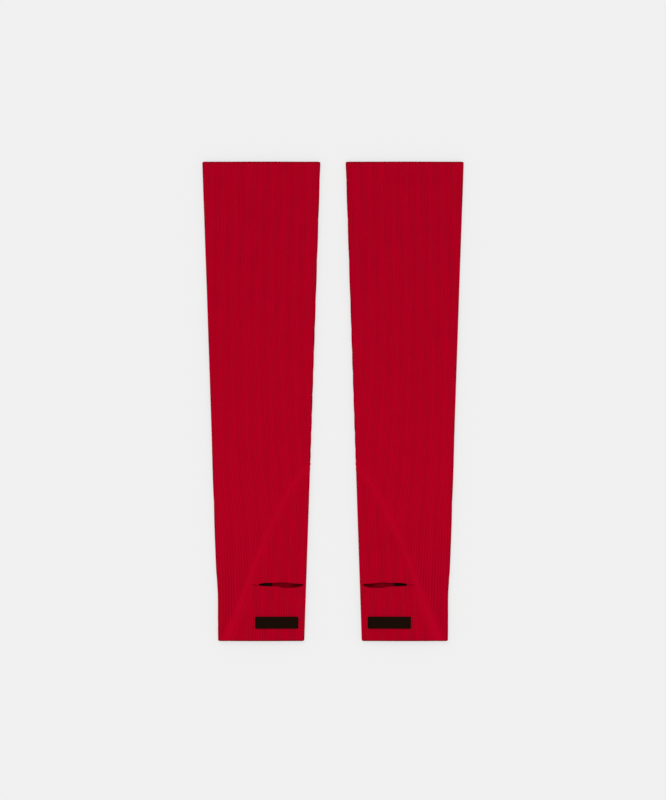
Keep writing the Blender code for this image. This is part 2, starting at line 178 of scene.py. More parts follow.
@dataclass(frozen=True)
class PressedTube:
    """The shape of one sleeve: a tapering tube, pressed flat."""

    length: float = 420 * MM
    centre: float = 62.8 * MM  # of a sleeve, from the middle of the pair
    wall: float = 1.1 * MM
    fold_radius: float = 1.6 * MM
    crown: float = 0.6 * MM  # how much the front layer's middle stands up
    hem_spring: float = 0.35 * MM  # and how much more it does at a hem
    hem_reach: float = 14 * MM
    flattening: tuple[float, float] = (0.32, 0.62)  # the part of a fold where the floor begins to hold it
    corner: float = 1.3 * MM  # the rounding of the hems' corners
    corner_reach: float = 5 * MM  # how far from the folds it moves the cloth
    hem_line: tuple[float, float] = (0.4 * MM, 1.3 * MM)  # where the darker line along a hem fades
    hem_dark: float = 0.52
    painted_crease_shade: float = 0.75  # painted shade in the creases, for a dent one millimetre deep
    inner: Curve = Curve(  # the half widths in millimetres, by the height in millimetres
        (0, 20, 41, 62, 120, 220, 320, 420),
        (37.7, 38.35, 39.05, 39.75, 41.7, 45.0, 48.35, 51.65),
    )
    outer: Curve = Curve(
        (0, 20, 41, 62, 120, 220, 320, 420),
        (37.8, 37.95, 38.1, 39.6, 41.65, 45.0, 48.35, 51.65),
    )
    swells: tuple[Swell, ...] = (
        Swell(0.10 * MM, 96 * MM, 310 * MM, 0.4),
        Swell(0.07 * MM, 57 * MM, -140 * MM, 2.1),
        Swell(0.06 * MM, 151 * MM, 62 * MM, 4.0),
        Swell(0.035 * MM, 29 * MM, 88 * MM, 1.2),
    )
    dents: tuple[Dent, ...] = (
        Dent(5.4 * MM, 49.0 * MM, 3.2 * MM, 0.6 * MM, 0.5 * MM, 0.1),
        Dent(-34.6 * MM, 43.6 * MM, 1.7 * MM, 0.8 * MM, 0.3 * MM, 0.5),
        Dent(-18.0 * MM, 53.6 * MM, 15.0 * MM, 1.8 * MM, -0.22 * MM),
        Dent(-22.0 * MM, 43.4 * MM, 12.0 * MM, 1.8 * MM, -0.18 * MM),
    )

    @property
    def neutral_radius(self) -> float:
        """The fold's radius half way through the cloth."""
        return self.fold_radius - self.wall / 2

    @property
    def fold_arc(self) -> float:
        """The cloth's length round a fold."""
        return math.pi * self.neutral_radius

    def to_hem(self, height: Array) -> Array:
        """The distance to the nearer hem."""
        return np.minimum(height, self.length - height)

    def flat_half(self, across: Array, height: Array) -> Array:
        """How far a layer's flat reaches before the fold, on the side that across points to."""
        half = np.where(across >= 0, self.outer.at(height / MM), self.inner.at(height / MM))
        return half * MM - self.fold_radius

    def turn(self, across: Array, height: Array) -> Array:
        """How far round its fold a place is: 0 on the front layer, pi on the back."""
        reach = np.abs(across) - self.flat_half(across, height)
        return np.clip(reach / self.neutral_radius, 0.0, math.pi)

    def resting(self, across: Array, height: Array) -> Array:
        """0 where the cloth faces up or sideways, 1 where it lies on the floor."""
        return smoothstep(self.turn(across, height) / math.pi, *self.flattening)

    def back_place(self, x: Array, height: Array, fold: int) -> Array:
        """The distance round the tube of a place on the back.

        Args:
            x: its distance from the sleeve's centre line.
            height: its height.
            fold: the fold over which it is reached, 1 for the outer and -1 for the inner one.

        Returns:
            The distance round the tube.
        """
        return fold * (2 * self.flat_half(np.full_like(height, fold), height) + self.fold_arc) - x

    def unevenness(self, across: Array, height: Array) -> Array:
        """How far the front layer stands above its plain form.

        Args:
            across: the places' distances round the tube.
            height: their heights.

        Returns:
            The distances, upwards.
        """
        rise = np.zeros_like(across)
        for swell in self.swells:
            wave = height / swell.along + across / swell.across
            rise += swell.depth * np.sin(2 * math.pi * wave + swell.phase)
        for dent in self.dents:
            rise -= dent.depth * dent.share(across, height)
        return rise

    def crease_shade(self, across: Array, height: Array) -> Array:
        """How much light the creases leave, 1 beside them."""
        creases = (dent for dent in self.dents if dent.depth > 0)
        return 1 - self.painted_crease_shade * sum(dent.depth / MM * dent.share(across, height) for dent in creases)

    def hem_shade(self, height: Array) -> Array:
        """How light the cloth is near the hems: a thin darker line along each, 1 beside them."""
        return 1 - self.hem_dark * (1 - smoothstep(self.to_hem(height), *self.hem_line))

    def point(self, side: Side, across: Array, height: Array, lift: Array) -> Array:
        """Places on the tube in the pair's frame.

        Args:
            side: the sleeve.
            across: the distances round the tube from the middle of the front.
            height: the distances above the wrist hem.
            lift: the distances outwards from the knit between the ribs.

        Returns:
            One row of x, y and z for each place.
        """
        outward = np.where(across >= 0, 1.0, -1.0)
        flat, turn = self.flat_half(across, height), self.turn(across, height)
        share = np.clip(np.abs(across) / flat, 0.0, 1.0)
        to_hem = self.to_hem(height)
        spring = self.crown + self.hem_spring * np.exp(-((to_hem / self.hem_reach) ** 2))
        front_z = 2 * self.fold_radius + spring * np.cos(math.pi / 2 * share) ** 2 + lift
        fold_x = flat + (self.fold_radius + lift) * np.sin(turn)
        fold_z = self.fold_radius + (self.fold_radius + lift) * np.cos(turn)
        front, back = turn <= 0, turn >= math.pi
        back_x = 2 * flat + self.fold_arc - np.abs(across)
        x = np.where(front, np.abs(across), np.where(back, back_x, fold_x))
        z = np.where(front, front_z, np.where(back, -lift, fold_z))
        z += self.unevenness(across, height) * np.cos(turn / 2) ** 2 * ~back
        rounding = np.clip(1 - to_hem / self.corner, 0.0, 1.0)
        inset = self.corner * (1 - np.sqrt(1 - rounding**2))
        x -= inset * smoothstep(x, flat - self.corner_reach, flat + self.fold_radius)
        return np.column_stack([side.value * (self.centre + outward * x), height - self.length / 2, z])


# ---- the runs of the seams and the ribs ------------------------------------------------------------------
class Seam:
    """A seam's middle line over the tube, read by its length along the cloth."""

    samples = 1600
    even = Curve((0, 1), (1.0, 1.0))

    def __init__(
        self, line: Line, low: float, high: float, flare: tuple[Curve, Curve] = (even, even)
    ) -> None:
        """Lays the seam out.

        Args:
            line: the distance round the tube at each height.
            low: the height of its lower end.
            high: the height of its upper end.
            flare: how many times wider than usual its tape is at each height, to its left and to its right.
        """
        self.flare = flare
        self.height = np.linspace(low, high, self.samples)
        self.across = line(self.height)
        steps = np.hypot(np.diff(self.height), np.diff(self.across))
        self.along = np.concatenate([[0.0], np.cumsum(steps)])
        self.rise = np.gradient(self.height, self.along)
        self.drift = np.gradient(self.across, self.along)

    def direction(self, along: Array) -> tuple[Array, Array]:
        """The seam's run at lengths along it: its parts round the tube and along the sleeve."""
        return np.interp(along, self.along, self.drift), np.interp(along, self.along, self.rise)

    def place(self, along: Array, aside: Array | float) -> tuple[Array, Array]:
        """Places beside the seam.

        Args:
            along: their lengths along it.
            aside: how far they are from its middle, to its right where positive.

        Returns:
            Their distances round the tube and their heights.
        """
        drift, rise = self.direction(along)
        across = np.interp(along, self.along, self.across) + aside * rise
        return across, np.interp(along, self.along, self.height) - aside * drift

    def widening(self, height: Array, aside: Array | float) -> Array:
        """How many times wider than usual the tape is at a height, on the side that aside points to."""
        left, right = (curve.at(height / MM) for curve in self.flare)
        return np.where(np.asarray(aside) > 0, right, left)

    def beside(self, aside: float, widened: bool = False) -> Line:
        """The line beside the seam, as the distance round the tube at each height.

        Args:
            aside: how far from the seam's middle, to its right where positive.
            widened: whether the line follows the tape's widening.

        Returns:
            The line.
        """
        factor = self.widening(self.height, aside) if widened else 1.0
        across, height = self.place(self.along, aside * factor)
        return lambda heights: np.interp(heights, height, across)

    def distance(self, across: Array, height: Array) -> Array:
        """How far places lie from the seam on either side, as if its tape were nowhere widened.

        Args:
            across: their distances round the tube.
            height: their heights.

        Returns:
            The distances.
        """
        rise = np.interp(height, self.height, self.rise)
        beside = (across - np.interp(height, self.height, self.across)) * rise
        beside /= self.widening(height, beside)
        return np.hypot(beside, np.maximum(height - self.height[-1], 0.0))


@dataclass
class Pattern:
    """Where the seams and the ribs run on a sleeve. The curves are in millimetres or factors, by height."""

    tube: PressedTube
    diagonal_curve: Curve = Curve(
        (-12, 0, 10, 28, 49, 67, 86, 104, 121, 137, 151, 166, 184, 200),
        (38.1, 32.6, 28.1, 20.3, 12.1, 5.2, -2.9, -11.0, -19.2, -28.6, -39.2, -52.0, -68.5, -84.0),
    )
    diagonal_reach: tuple[float, float] = (-12 * MM, 200 * MM)  # the heights between which it is laid out
    diagonal_flare: tuple[Curve, Curve] = (
        Curve((0, 12, 36, 62), (2.0, 1.9, 1.5, 1.0)),
        Curve((0, 12, 36, 62), (1.15, 1.15, 1.1, 1.0)),
    )
    closing_curve: Curve = Curve((0, 140, 280, 420), (-6.0, -12.0, -24.5, -43.5))
    meeting_zone: tuple[float, float] = (150 * MM, 200 * MM)  # the heights between which they meet
    meeting_steps: int = 5001  # heights that are tried there
    rib_drift: Curve = Curve(
        (0, 19, 45, 71, 106, 141, 176, 211, 281, 350, 420),
        (26.0, 26.6, 26.5, 24.5, 19.6, 13.9, 10.1, 7.6, 3.7, 1.7, 0.0),
    )
    rib_spread: Curve = Curve(
        (0, 19, 45, 71, 106, 141, 176, 211, 281, 350, 420),
        (1.24, 1.24, 1.24, 1.215, 1.14, 1.085, 1.055, 1.03, 1.0, 1.0, 1.0),
    )
    rib_pitch: float = 2.02 * MM
    wrist_rib_pitch: float = 2.03 * MM
    rib_height: float = 0.45 * MM
    diagonal: Seam = field(init=False)
    closing: dict[int, Seam] = field(init=False)

    def __post_init__(self) -> None:
        """Lays the seams over the tube."""
        self.diagonal = Seam(self.diagonal_line, *self.diagonal_reach, self.diagonal_flare)
        self.closing = {fold: Seam(self.closing_line(fold), 0.0, self.tube.length) for fold in (-1, 1)}

    def diagonal_line(self, height: Array) -> Array:
        """The diagonal seam, as the distance round the tube at each height."""
        return self.diagonal_curve.at(height / MM) * MM

    def closing_line(self, fold: int) -> Line:
        """The closing seam along the back, reached over the outer (1) or the inner fold (-1)."""
        return lambda height: self.tube.back_place(self.closing_curve.at(height / MM) * MM, height, fold)

    def seam_distance(self, across: Array, height: Array) -> Array:
        """How far places lie from the nearest seam's middle."""
        seams = (self.diagonal, *self.closing.values())
        return np.min([seam.distance(across, height) for seam in seams], axis=0)

    def seams_meet(self, beside_diagonal: float, beside_closing: float) -> float:
        """The height where a line beside the diagonal seam meets one beside the closing seam, on the back.

        Args:
            beside_diagonal: how far the one line is from the diagonal seam's middle.
            beside_closing: how far the other is from the closing seam's middle.

        Returns:
            The height.
        """
        height = np.linspace(*self.meeting_zone, self.meeting_steps)
        gap = self.diagonal.beside(beside_diagonal)(height) - self.closing[-1].beside(beside_closing)(height)
        return float(height[np.argmax(gap < 0)])

    def main_rib(self, across: Array, height: Array) -> Array:
        """The main panel's rib coordinate: whole in the grooves, a half on the crests."""
        drift = self.rib_drift.at(height / MM) * MM
        return (across + drift) / (self.rib_pitch * self.rib_spread.at(height / MM))

    def main_place(self, rib: Array, height: Array) -> Array:
        """The distance round the tube of a rib coordinate on the main panel."""
        return rib * self.rib_pitch * self.rib_spread.at(height / MM) - self.rib_drift.at(height / MM) * MM

    def wrist_start(self, height: Array) -> Array:
        """Where the wrist panel's ribs are counted from: the end of the inner fold, on the back."""
        return -(self.tube.flat_half(np.full_like(height, -1.0), height) + self.tube.fold_arc)

    def wrist_rib(self, across: Array, height: Array) -> Array:
        """The wrist panel's rib coordinate: whole in the grooves, a half on the crests."""
        return (across - self.wrist_start(height)) / self.wrist_rib_pitch

    def wrist_place(self, rib: Array, height: Array) -> Array:
        """The distance round the tube of a rib coordinate on the wrist panel."""
        return rib * self.wrist_rib_pitch + self.wrist_start(height)


# ---- meshes of cloth -------------------------------------------------------------------------------------
@dataclass(frozen=True)
class Row:
    """A row of points across a piece of cloth, from its left edge to its right one.

    keys are the points' columns, and first is the number of the first column inside the edges. below and
    above hold the points' numbers for the faces on each side of the row, which differ along a slit.
    """

    height: float
    keys: Array
    first: int
    below: Array
    above: Array

    @property
    def last(self) -> int:
        """The number of the last column inside the edges."""
        return self.first + len(self.keys) - 3


class ClothMesh:
    """The points and faces of one piece, gathered before they become an object."""

    def __init__(self, tube: PressedTube, side: Side) -> None:
        """Starts an empty mesh.

        Args:
            tube: the shape of the sleeve that it lies on.
            side: which sleeve that is.
        """
        self.tube = tube
        self.side = side
        self.points: list[Array] = []
        self.weave: list[Array] = []
        self.shade: list[Array] = []
        self.faces: list[list[int]] = []
        self.flat: list[int] = []  # the numbers of the faces that aren't shaded smooth
        self.count = 0

    def add(
        self, across: Array, height: Array, lift: Array, weave: Array, shade: Array | float = 1.0
    ) -> Array:
        """Adds points.

        Args:
            across: their distances round the tube.
            height: their heights.
            lift: their distances outwards.
            weave: their two coordinates in the cloth, which the finish reads, in two columns.
            shade: how light the cloth is there, 1 where it is plain: painted shade and light, and the cloth's
                own tone.

        Returns:
            Their numbers.
        """
        self.points.append(self.tube.point(self.side, across, height, lift))
        self.weave.append(weave)
        self.shade.append(np.broadcast_to(shade, across.shape))
        self.count += len(across)
        return np.arange(self.count - len(across), self.count)

    def quads(self, lower: Array, upper: Array, outside: bool = True) -> None:
        """Faces between two lines of as many points. From outside both run to the right, upper above."""
        corners = np.stack([lower[:-1], lower[1:], upper[1:], upper[:-1]], 1)
        self.faces.extend((corners if outside else corners[:, ::-1]).tolist())

    def zip(
        self, lower_keys: Array, lower: Array, upper_keys: Array, upper: Array, outside: bool = True
    ) -> None:
        """Triangles between two such lines whose points needn't match, taken in the order of their keys.

        Args:
            lower_keys: where the lower line's points lie along it.
            lower: the points' numbers.
            upper_keys: where the upper line's points lie along it.
            upper: the points' numbers.
            outside: whether the lines run to the right as seen from outside.
        """
        i = j = 0
        faces = []
        while i < len(upper) - 1 or j < len(lower) - 1:
            step_upper = j == len(lower) - 1 or (
                i < len(upper) - 1 and upper_keys[i + 1] - lower_keys[j] <= lower_keys[j + 1] - upper_keys[i]
            )
            if step_upper:
                faces.append([int(upper[i]), int(lower[j]), int(upper[i + 1])])
                i += 1
            else:
                faces.append([int(upper[i]), int(lower[j]), int(lower[j + 1])])
                j += 1
        self.faces.extend(faces if outside else [face[::-1] for face in faces])

    def fill(self, lower: Row, upper: Row, outside: bool) -> None:
        """Faces between two rows, with the edges' own points joined to the nearest columns.

        Args:
            lower: the row below.
            upper: the row above.
            outside: whether they are on the outside of the cloth.
        """
        first, last = max(lower.first, upper.first), min(lower.last, upper.last)
        if last <= first:
            self.zip(lower.keys, lower.above, upper.keys, upper.below, outside)
            return
        low = slice(1 + first - lower.first, 2 + last - lower.first)
        up = slice(1 + first - upper.first, 2 + last - upper.first)
        self.quads(lower.above[low], upper.below[up], outside)
        left_ends = (slice(0, low.start + 1), slice(0, up.start + 1))
        right_ends = (slice(low.stop - 1, None), slice(up.stop - 1, None))
        for a, b in (left_ends, right_ends):
            self.zip(lower.keys[a], lower.above[a], upper.keys[b], upper.below[b], outside)

    def cap(self, loop: Array, centre: int, outside: bool) -> None:
        """A flat fan of triangles.

        Args:
            loop: the numbers of the points round it.
            centre: the number of the point in its middle.
            outside: whether the loop runs against the clock as seen from outside.
        """
        for a, b in zip(loop, np.roll(loop, -1)):
            self.flat.append(len(self.faces))
            self.faces.append([centre, int(a), int(b)] if outside else [centre, int(b), int(a)])

    def object(self, name: str, finish: bpy.types.Material) -> bpy.types.Object:
        """Makes the object, with its weave coordinates as a UV map and its shades as an attribute.

        Args:
            name: its name.
            finish: its material.

        Returns:
            The object.
        """
        data = bpy.data.meshes.new(name)
        order = 1 if self.side is Side.RIGHT else -1
        data.from_pydata(np.concatenate(self.points).tolist(), [], [face[::order] for face in self.faces])
        data.update()
        corners = np.zeros(len(data.loops), np.int32)
        data.loops.foreach_get("vertex_index", corners)
        weave = np.concatenate(self.weave)[corners]
        data.uv_layers.new(name="weave").data.foreach_set("uv", weave.astype(np.float32).ravel())
        shades = data.attributes.new("shade", "FLOAT", "POINT")
        shades.data.foreach_set("value", np.concatenate(self.shade).astype(np.float32))
        smooth = np.ones(len(data.polygons), bool)
        smooth[self.flat] = False
        data.polygons.foreach_set("use_smooth", smooth)
        data.materials.append(finish)
        made = bpy.data.objects.new(name, data)
        bpy.context.scene.collection.objects.link(made)
        return made


@dataclass(frozen=True)
class Edge:
    """How a free edge of the cloth is rounded off."""

    radius: float = 0.42 * MM
    steps: tuple[float, ...] = (0.0, 0.06, 0.2, 0.45, 0.75, 1.0, 1.7, 2.6)  # shares of the radius
    inside_share: float = 0.6  # how much of the rounding the inside has
    held_share: float = 0.6  # how much of it the floor takes from the outside

    def sink(self, distance: Array) -> Array:
        """How far the cloth's face has sunk at a distance from the edge."""
        share = np.clip(1 - distance / self.radius, 0.0, 1.0)
        return self.radius * (1 - np.sqrt(1 - share**2))

    def held(self, sink: Array, resting: Array) -> Array:
        """What is left of the outside's sink where the cloth rests on the floor."""
        return sink * (1 - self.held_share * resting)

    def rows(self, low: float, high: float, step: float) -> Array:
        """Places from one free edge to another, close together at the edges.

        Args:
            low: where the one edge is.
            high: where the other is.
            step: from one place to the next between them.

        Returns:
            The places.
        """
        rounding = np.array(self.steps) * self.radius
        start, end = low + rounding[-1] + step / 3, high - rounding[-1] - step / 3
        middle = np.linspace(start, end, max(int((end - start) / step), 2))
        return np.concatenate([low + rounding, middle, high - rounding[::-1]])


@dataclass(frozen=True)
class Slit:
    """The short opening in the wrist panel: its line, its ends and its two lips."""

    height: float = 49.4 * MM
    ends: tuple[float, float] = (2.0, 21.5)  # the rib coordinates where it starts and stops
    above: Curve = Curve(  # how many millimetres the upper lip is drawn up, by the share of the slit's length
        (0, 0.03, 0.09, 0.18, 0.265, 0.354, 0.442, 0.531, 0.619, 0.752, 0.841, 0.92, 0.97, 1),
        (0, 0.6, 0.75, 0.95, 1.2, 1.65, 1.95, 2.0, 1.6, 1.65, 1.6, 1.2, 0.8, 0),
    )
    below: Curve = Curve(
        (0, 0.03, 0.09, 0.18, 0.265, 0.354, 0.442, 0.531, 0.619, 0.752, 0.841, 0.92, 0.97, 1),
        (0, 1.1, 1.9, 2.5, 2.65, 2.8, 2.75, 2.05, 1.6, 1.4, 1.3, 1.15, 0.8, 0),
    )
    reach: float = 13 * MM  # how far from the slit the cloth still gives way
    end_zone: tuple[float, float] = (-0.02, 0.04)  # the shares of its length where its rounding begins

    def share(self, rib: Array) -> Array:
        """How far along the slit a rib coordinate lies: 0 to 1, and outside them past its ends."""
        return (rib - self.ends[0]) / (self.ends[1] - self.ends[0])

    def along(self, keys: Array, columns: int, past: float) -> Array:
        """Which columns lie along the slit.

        Args:
            keys: the columns' numbers.
            columns: how many there are for each rib.
            past: how many columns beyond the slit's ends are taken too, or left out where negative.

        Returns:
            Whether each one does.
        """
        start, stop = (end * columns for end in self.ends)
        return (keys > start - past) & (keys < stop + past)

    def opening(self, rib: Array, height: Array, upper: bool) -> Array:
        """How far the open slit has moved the cloth along the sleeve.

        Args:
            rib: the rib coordinates.
            height: the heights before the slit opened.
            upper: whether this is the cloth above the slit.

        Returns:
            The distances, upwards where positive.
        """
        lip = self.above.at(self.share(rib)) if upper else -self.below.at(self.share(rib))
        near = np.clip(1 - np.abs(height - self.height) / self.reach, 0.0, 1.0)
        return lip * MM * near**2

    def sink(self, edge: Edge, rib: Array, height: Array) -> Array:
        """How far the cloth's face has sunk round the lips."""
        within = np.minimum(self.share(rib), 1 - self.share(rib))
        return edge.sink(np.abs(height - self.height)) * smoothstep(within, *self.end_zone)


# ---- the panels ------------------------------------------------------------------------------------------
@dataclass
class Panel:
    """A piece of rib knit: rows of points between two edges, with a plain inside."""

    side: Side
    pattern: Pattern
    finish: bpy.types.Material
    name: str = "panel"
    row_step: float = 3.2 * MM
    columns: int = 6  # for each rib
    edge_room: float = 0.15  # columns from an edge to the first column beside it, at least
    inside_columns: int = 1
    inside_rows: int = 3  # the inside has one row in this many
    hem_rows: float = 1.5 * MM  # and all of them this near to a hem
    slit_rows: float = 6 * MM  # or this near to the slit
    course: float = 0.62 * MM  # one row of the knit's stitches
    under_tape: float = 1.0 * MM  # from a seam's middle to the panel's hidden edge
    seam_press: float = 0.3 * MM
    pressed: tuple[float, float] = (1.6 * MM, 3.0 * MM)  # the zone beside a seam where the tape's hold ends
    ribbed: tuple[float, float] = (2.1 * MM, 4.6 * MM)  # and the one where the ribs begin
    plain_level: tuple[float, float] = (0.2, 0.5)  # in rib heights: beside the tapes, and more on the folds
    stretched: tuple[float, float] = (0.4, 0.2)  # and what the ribs lose and the grooves gain on the folds
    fold_hold: float = 0.6  # how much less the tape presses there
    groove_start: float = 0.8  # the share of a rib's height below which its side gets painted shade
    painted_groove_shade: Curve = Curve(  # painted shade in the grooves between the ribs: how light they are, by height
        (0, 60, 110, 260, 340, 420),
        (0.73, 0.79, 0.86, 0.89, 0.86, 0.89),
    )
    streak: float = 0.022  # how much the ribs differ in lightness
    streak_waves: tuple[tuple[float, float], ...] = (  # a turn from rib to rib, and the length of one radian
        (2.4, 61 * MM),
        (5.1, -37 * MM),
    )
    # painted shade where the cloth turns sideways round the folds
    painted_fold_shade: float = 0.28
    plain_light: float = 0.03  # how much lighter the cloth without ribs beside a tape is
    plain_zone: tuple[float, float] = (2.0 * MM, 4.6 * MM)
    painted_light_by_height: Curve = Curve((0, 50, 110, 260, 420), (0.985, 1.0, 1.04, 1.0, 0.965))  # painted light: how light the cloth is along the sleeve, by height
    # painted shade over the whole inside
    inside_shade: float = 0.5
    painted_inside_fold_shade: float = 0.22  # more painted shade towards the folds
    inside_zone: tuple[float, float] = (22 * MM, 30 * MM)  # where that begins, from the sleeve's centre line
    edge: Edge = Edge()
    slit: Slit | None = None
    area: float = field(default=0.0, init=False)

    def rib(self, across: Array, height: Array) -> Array:
        """The rib coordinate of a place."""
        raise NotImplementedError

    def place(self, rib: Array, height: Array) -> Array:
        """The distance round the tube of a rib coordinate."""
        raise NotImplementedError

    def edges(self) -> tuple[Line, Line]:
        """The lines of the left and the right edge."""
        raise NotImplementedError

    def heights(self) -> Array:
        """The heights of the rows."""
        raise NotImplementedError

    def sink(self, rib: Array, height: Array) -> Array:
        """How far the free edges' rounding has sunk the cloth's face."""
        sink = self.edge.sink(self.pattern.tube.to_hem(height))
        return sink + self.slit.sink(self.edge, rib, height) if self.slit else sink

    def streaks(self, rib: Array, height: Array) -> Array:
        """How the ribs differ in lightness from one to the next, around 0."""
        number = np.floor(rib)
        return sum(np.sin(turn * number + height / length) for turn, length in self.streak_waves)

    def outside(self, rib: Array, across: Array, height: Array) -> tuple[Array, Array]:
        """The ribbed outside: pressed down under the tapes, softer round the folds, flat on the floor.

        Args:
            rib: the rib coordinates.
            across: the distances round the tube.
            height: the heights.

        Returns:
            The lifts and the shades, with painted shade and light in them.
        """
        tube = self.pattern.tube
        seam = self.pattern.seam_distance(across, height)
        resting = tube.resting(across, height)
        sideways = np.sin(tube.turn(across, height))
        wave, ribbed = np.abs(np.sin(math.pi * rib)), smoothstep(seam, *self.ribbed)
        lower, higher = self.stretched
        ribs = wave * (1 - lower * sideways) + higher * sideways
        level, rise = self.plain_level
        crest = ribs * ribbed + (level + rise * sideways) * (1 - ribbed)
        lift = self.pattern.rib_height * (crest - resting)
        press = self.seam_press * (1 - smoothstep(seam, *self.pressed))
        lift -= press * (1 - resting / 2) * (1 - self.fold_hold * sideways)
        # painted shade in the grooves between the ribs; the lines below add the ribs' own streaks of tone,
        # painted shade on the folds and in the creases, and painted light along the sleeve
        groove = np.clip(1 - wave / self.groove_start, 0.0, 1.0) * ribbed
        shade = 1 - (1 - self.painted_groove_shade.at(height / MM)) * groove
        plain = 1 - smoothstep(seam, *self.plain_zone)
        shade *= 1 + self.streak * self.streaks(rib, height) * ribbed + self.plain_light * plain
        shade *= tube.hem_shade(height) * tube.crease_shade(across, height) * (1 - self.painted_fold_shade * sideways)
        shade *= self.painted_light_by_height.at(height / MM)
        return lift - self.edge.held(self.sink(rib, height), resting), shade

    def inside(self, rib: Array, across: Array, height: Array) -> tuple[Array, Array]:
        """The plain inside: rounded at the free edges, with painted shade that deepens towards the folds.

        Args:
            rib: the rib coordinates.
            across: the distances round the tube.
            height: the heights.

        Returns:
            The lifts and the shades.
        """
        tube = self.pattern.tube
        half = tube.flat_half(across, height)
        beside = np.minimum(np.abs(across), np.abs(2 * half + tube.fold_arc - np.abs(across)))
        shade = self.inside_shade - self.painted_inside_fold_shade * smoothstep(beside, *self.inside_zone)
        return self.edge.inside_share * self.sink(rib, height) - tube.wall, shade

    def row(self, mesh: ClothMesh, height: float, columns: int, face: Face) -> Row:
        """Adds one row of points.

        Args:
            mesh: where they go.
            height: the row's height, before the slit opened.
            columns: how many for each rib.
            face: gives their lifts and shades.

        Returns:
            The row, with two sets of numbers where it is the slit's.
        """
        here = np.array([height])
        left, right = (self.rib(line(here), here)[0] * columns for line in self.edges())
        first, last = math.ceil(left + self.edge_room), math.floor(right - self.edge_room)
        keys = np.concatenate([[left], np.arange(first, last + 1), [right]])
        rib, level = keys / columns, np.full(len(keys), height)
        across = self.place(rib, level)
        weave = np.column_stack([rib, level / self.course])
        lifts, shades = face(rib, across, level)

        def add(chosen: Array, upper: bool) -> Array:
            """Adds some of the row's points, moved as the slit opens.

            Args:
                chosen: their places in the row.
                upper: whether they belong to the cloth above the slit.

            Returns:
                Their numbers.
            """
            moved = level[chosen]
            if self.slit:
                moved = moved + self.slit.opening(rib[chosen], moved, upper)
            return mesh.add(across[chosen], moved, lifts[chosen], weave[chosen], shades[chosen])

        everything = np.arange(len(keys))
        below = add(everything, bool(self.slit) and height > self.slit.height)
        above = below.copy()
        if self.slit and math.isclose(height, self.slit.height):
            opened = everything[self.slit.along(keys, columns, -0.5)]
            above[opened] = add(opened, True)
        return Row(height, keys, first, below, above)

    def rim(self, mesh: ClothMesh, outer: list[Row], inner: list[Row]) -> None:
        """Closes the wall between the outside and the inside, round the piece and round the slit.

        Args:
            mesh: the panel's mesh.
            outer: the outside's rows.
            inner: the inside's rows.
        """
        ratio = self.columns / self.inside_columns
        mesh.zip(inner[0].keys * ratio, inner[0].below, outer[0].keys, outer[0].below)
        mesh.zip(inner[-1].keys * ratio, inner[-1].below, outer[-1].keys, outer[-1].below, False)
        levels_in, levels_out = (np.array([row.height for row in rows]) for rows in (inner, outer))
        for end, outside in ((0, False), (-1, True)):
            ends_in, ends_out = (np.array([row.below[end] for row in rows]) for rows in (inner, outer))
            mesh.zip(levels_in, ends_in, levels_out, ends_out, outside)
        if not self.slit:
            return
        out, inn = (next(row for row in rows if np.any(row.below != row.above)) for rows in (outer, inner))
        keys = inn.keys * ratio
        fine, coarse = (self.slit.along(numbers, self.columns, 0.5) for numbers in (out.keys, keys))
        keys = keys[coarse]
        mesh.zip(keys, inn.below[coarse], out.keys[fine], out.below[fine], False)
        mesh.zip(keys, inn.above[coarse], out.keys[fine], out.above[fine])

    def inside_heights(self, heights: Array) -> Array:
        """The inside's rows: some of the outside's, with all those at the hems and the slit.

        Args:
            heights: the outside's rows.

        Returns:
            The rows that the inside has.
        """
        keep = np.arange(len(heights)) % self.inside_rows == 0
        keep |= (heights < self.hem_rows) | (heights > heights[-1] - self.hem_rows)
        if self.slit:
            keep |= np.abs(heights - self.slit.height) < self.slit_rows
        return heights[keep]

    def build(self) -> bpy.types.Object:
        """Makes the panel's object and measures its cut.

        Returns:
            The object.
        """
        mesh = ClothMesh(self.pattern.tube, self.side)
        heights = self.heights()
        inside_heights = self.inside_heights(heights)
        outer = [self.row(mesh, height, self.columns, self.outside) for height in heights]
        inner = [self.row(mesh, height, self.inside_columns, self.inside) for height in inside_heights]
        for rows, outside in ((outer, True), (inner, False)):
            for lower, upper in zip(rows, rows[1:]):
                mesh.fill(lower, upper, outside)
        self.rim(mesh, outer, inner)
        left, right = self.edges()
        widths = right(heights) - left(heights)
        self.area = float(np.sum(np.diff(heights) * (widths[:-1] + widths[1:]) / 2))
        return mesh.object(f"{self.name}_cloth_{self.side.word}", self.finish)


@dataclass
class MainPanel(Panel):
    """The arm's panel, from the closing seam over the inner fold, the front and the outer fold."""

    name: str = "main_panel"
    meeting_room: float = 0.6 * MM  # rows nearer to the height where the seams meet are left out

    def rib(self, across: Array, height: Array) -> Array:
        """The rib coordinate of a place."""
        return self.pattern.main_rib(across, height)

    def place(self, rib: Array, height: Array) -> Array:
        """The distance round the tube of a rib coordinate."""
        return self.pattern.main_place(rib, height)

    def edges(self) -> tuple[Line, Line]:
        """The left edge, on the diagonal seam and above it the closing seam, and the right one.

        Returns:
            The two lines.
        """
        diagonal = self.pattern.diagonal.beside(self.under_tape)
        inner = self.pattern.closing[-1].beside(self.under_tape)
        outer = self.pattern.closing[1].beside(-self.under_tape)
        meet = self.pattern.seams_meet(self.under_tape, self.under_tape)
        return lambda height: np.where(height < meet, diagonal(height), inner(height)), outer

    def heights(self) -> Array:
        """Rows from hem to hem, with one where the two seams on the left meet.

        Returns:
            Their heights.
        """
        rows = self.edge.rows(0.0, self.pattern.tube.length, self.row_step)
        meet = self.pattern.seams_meet(self.under_tape, self.under_tape)
        return np.sort(np.append(rows[np.abs(rows - meet) > self.meeting_room], meet))


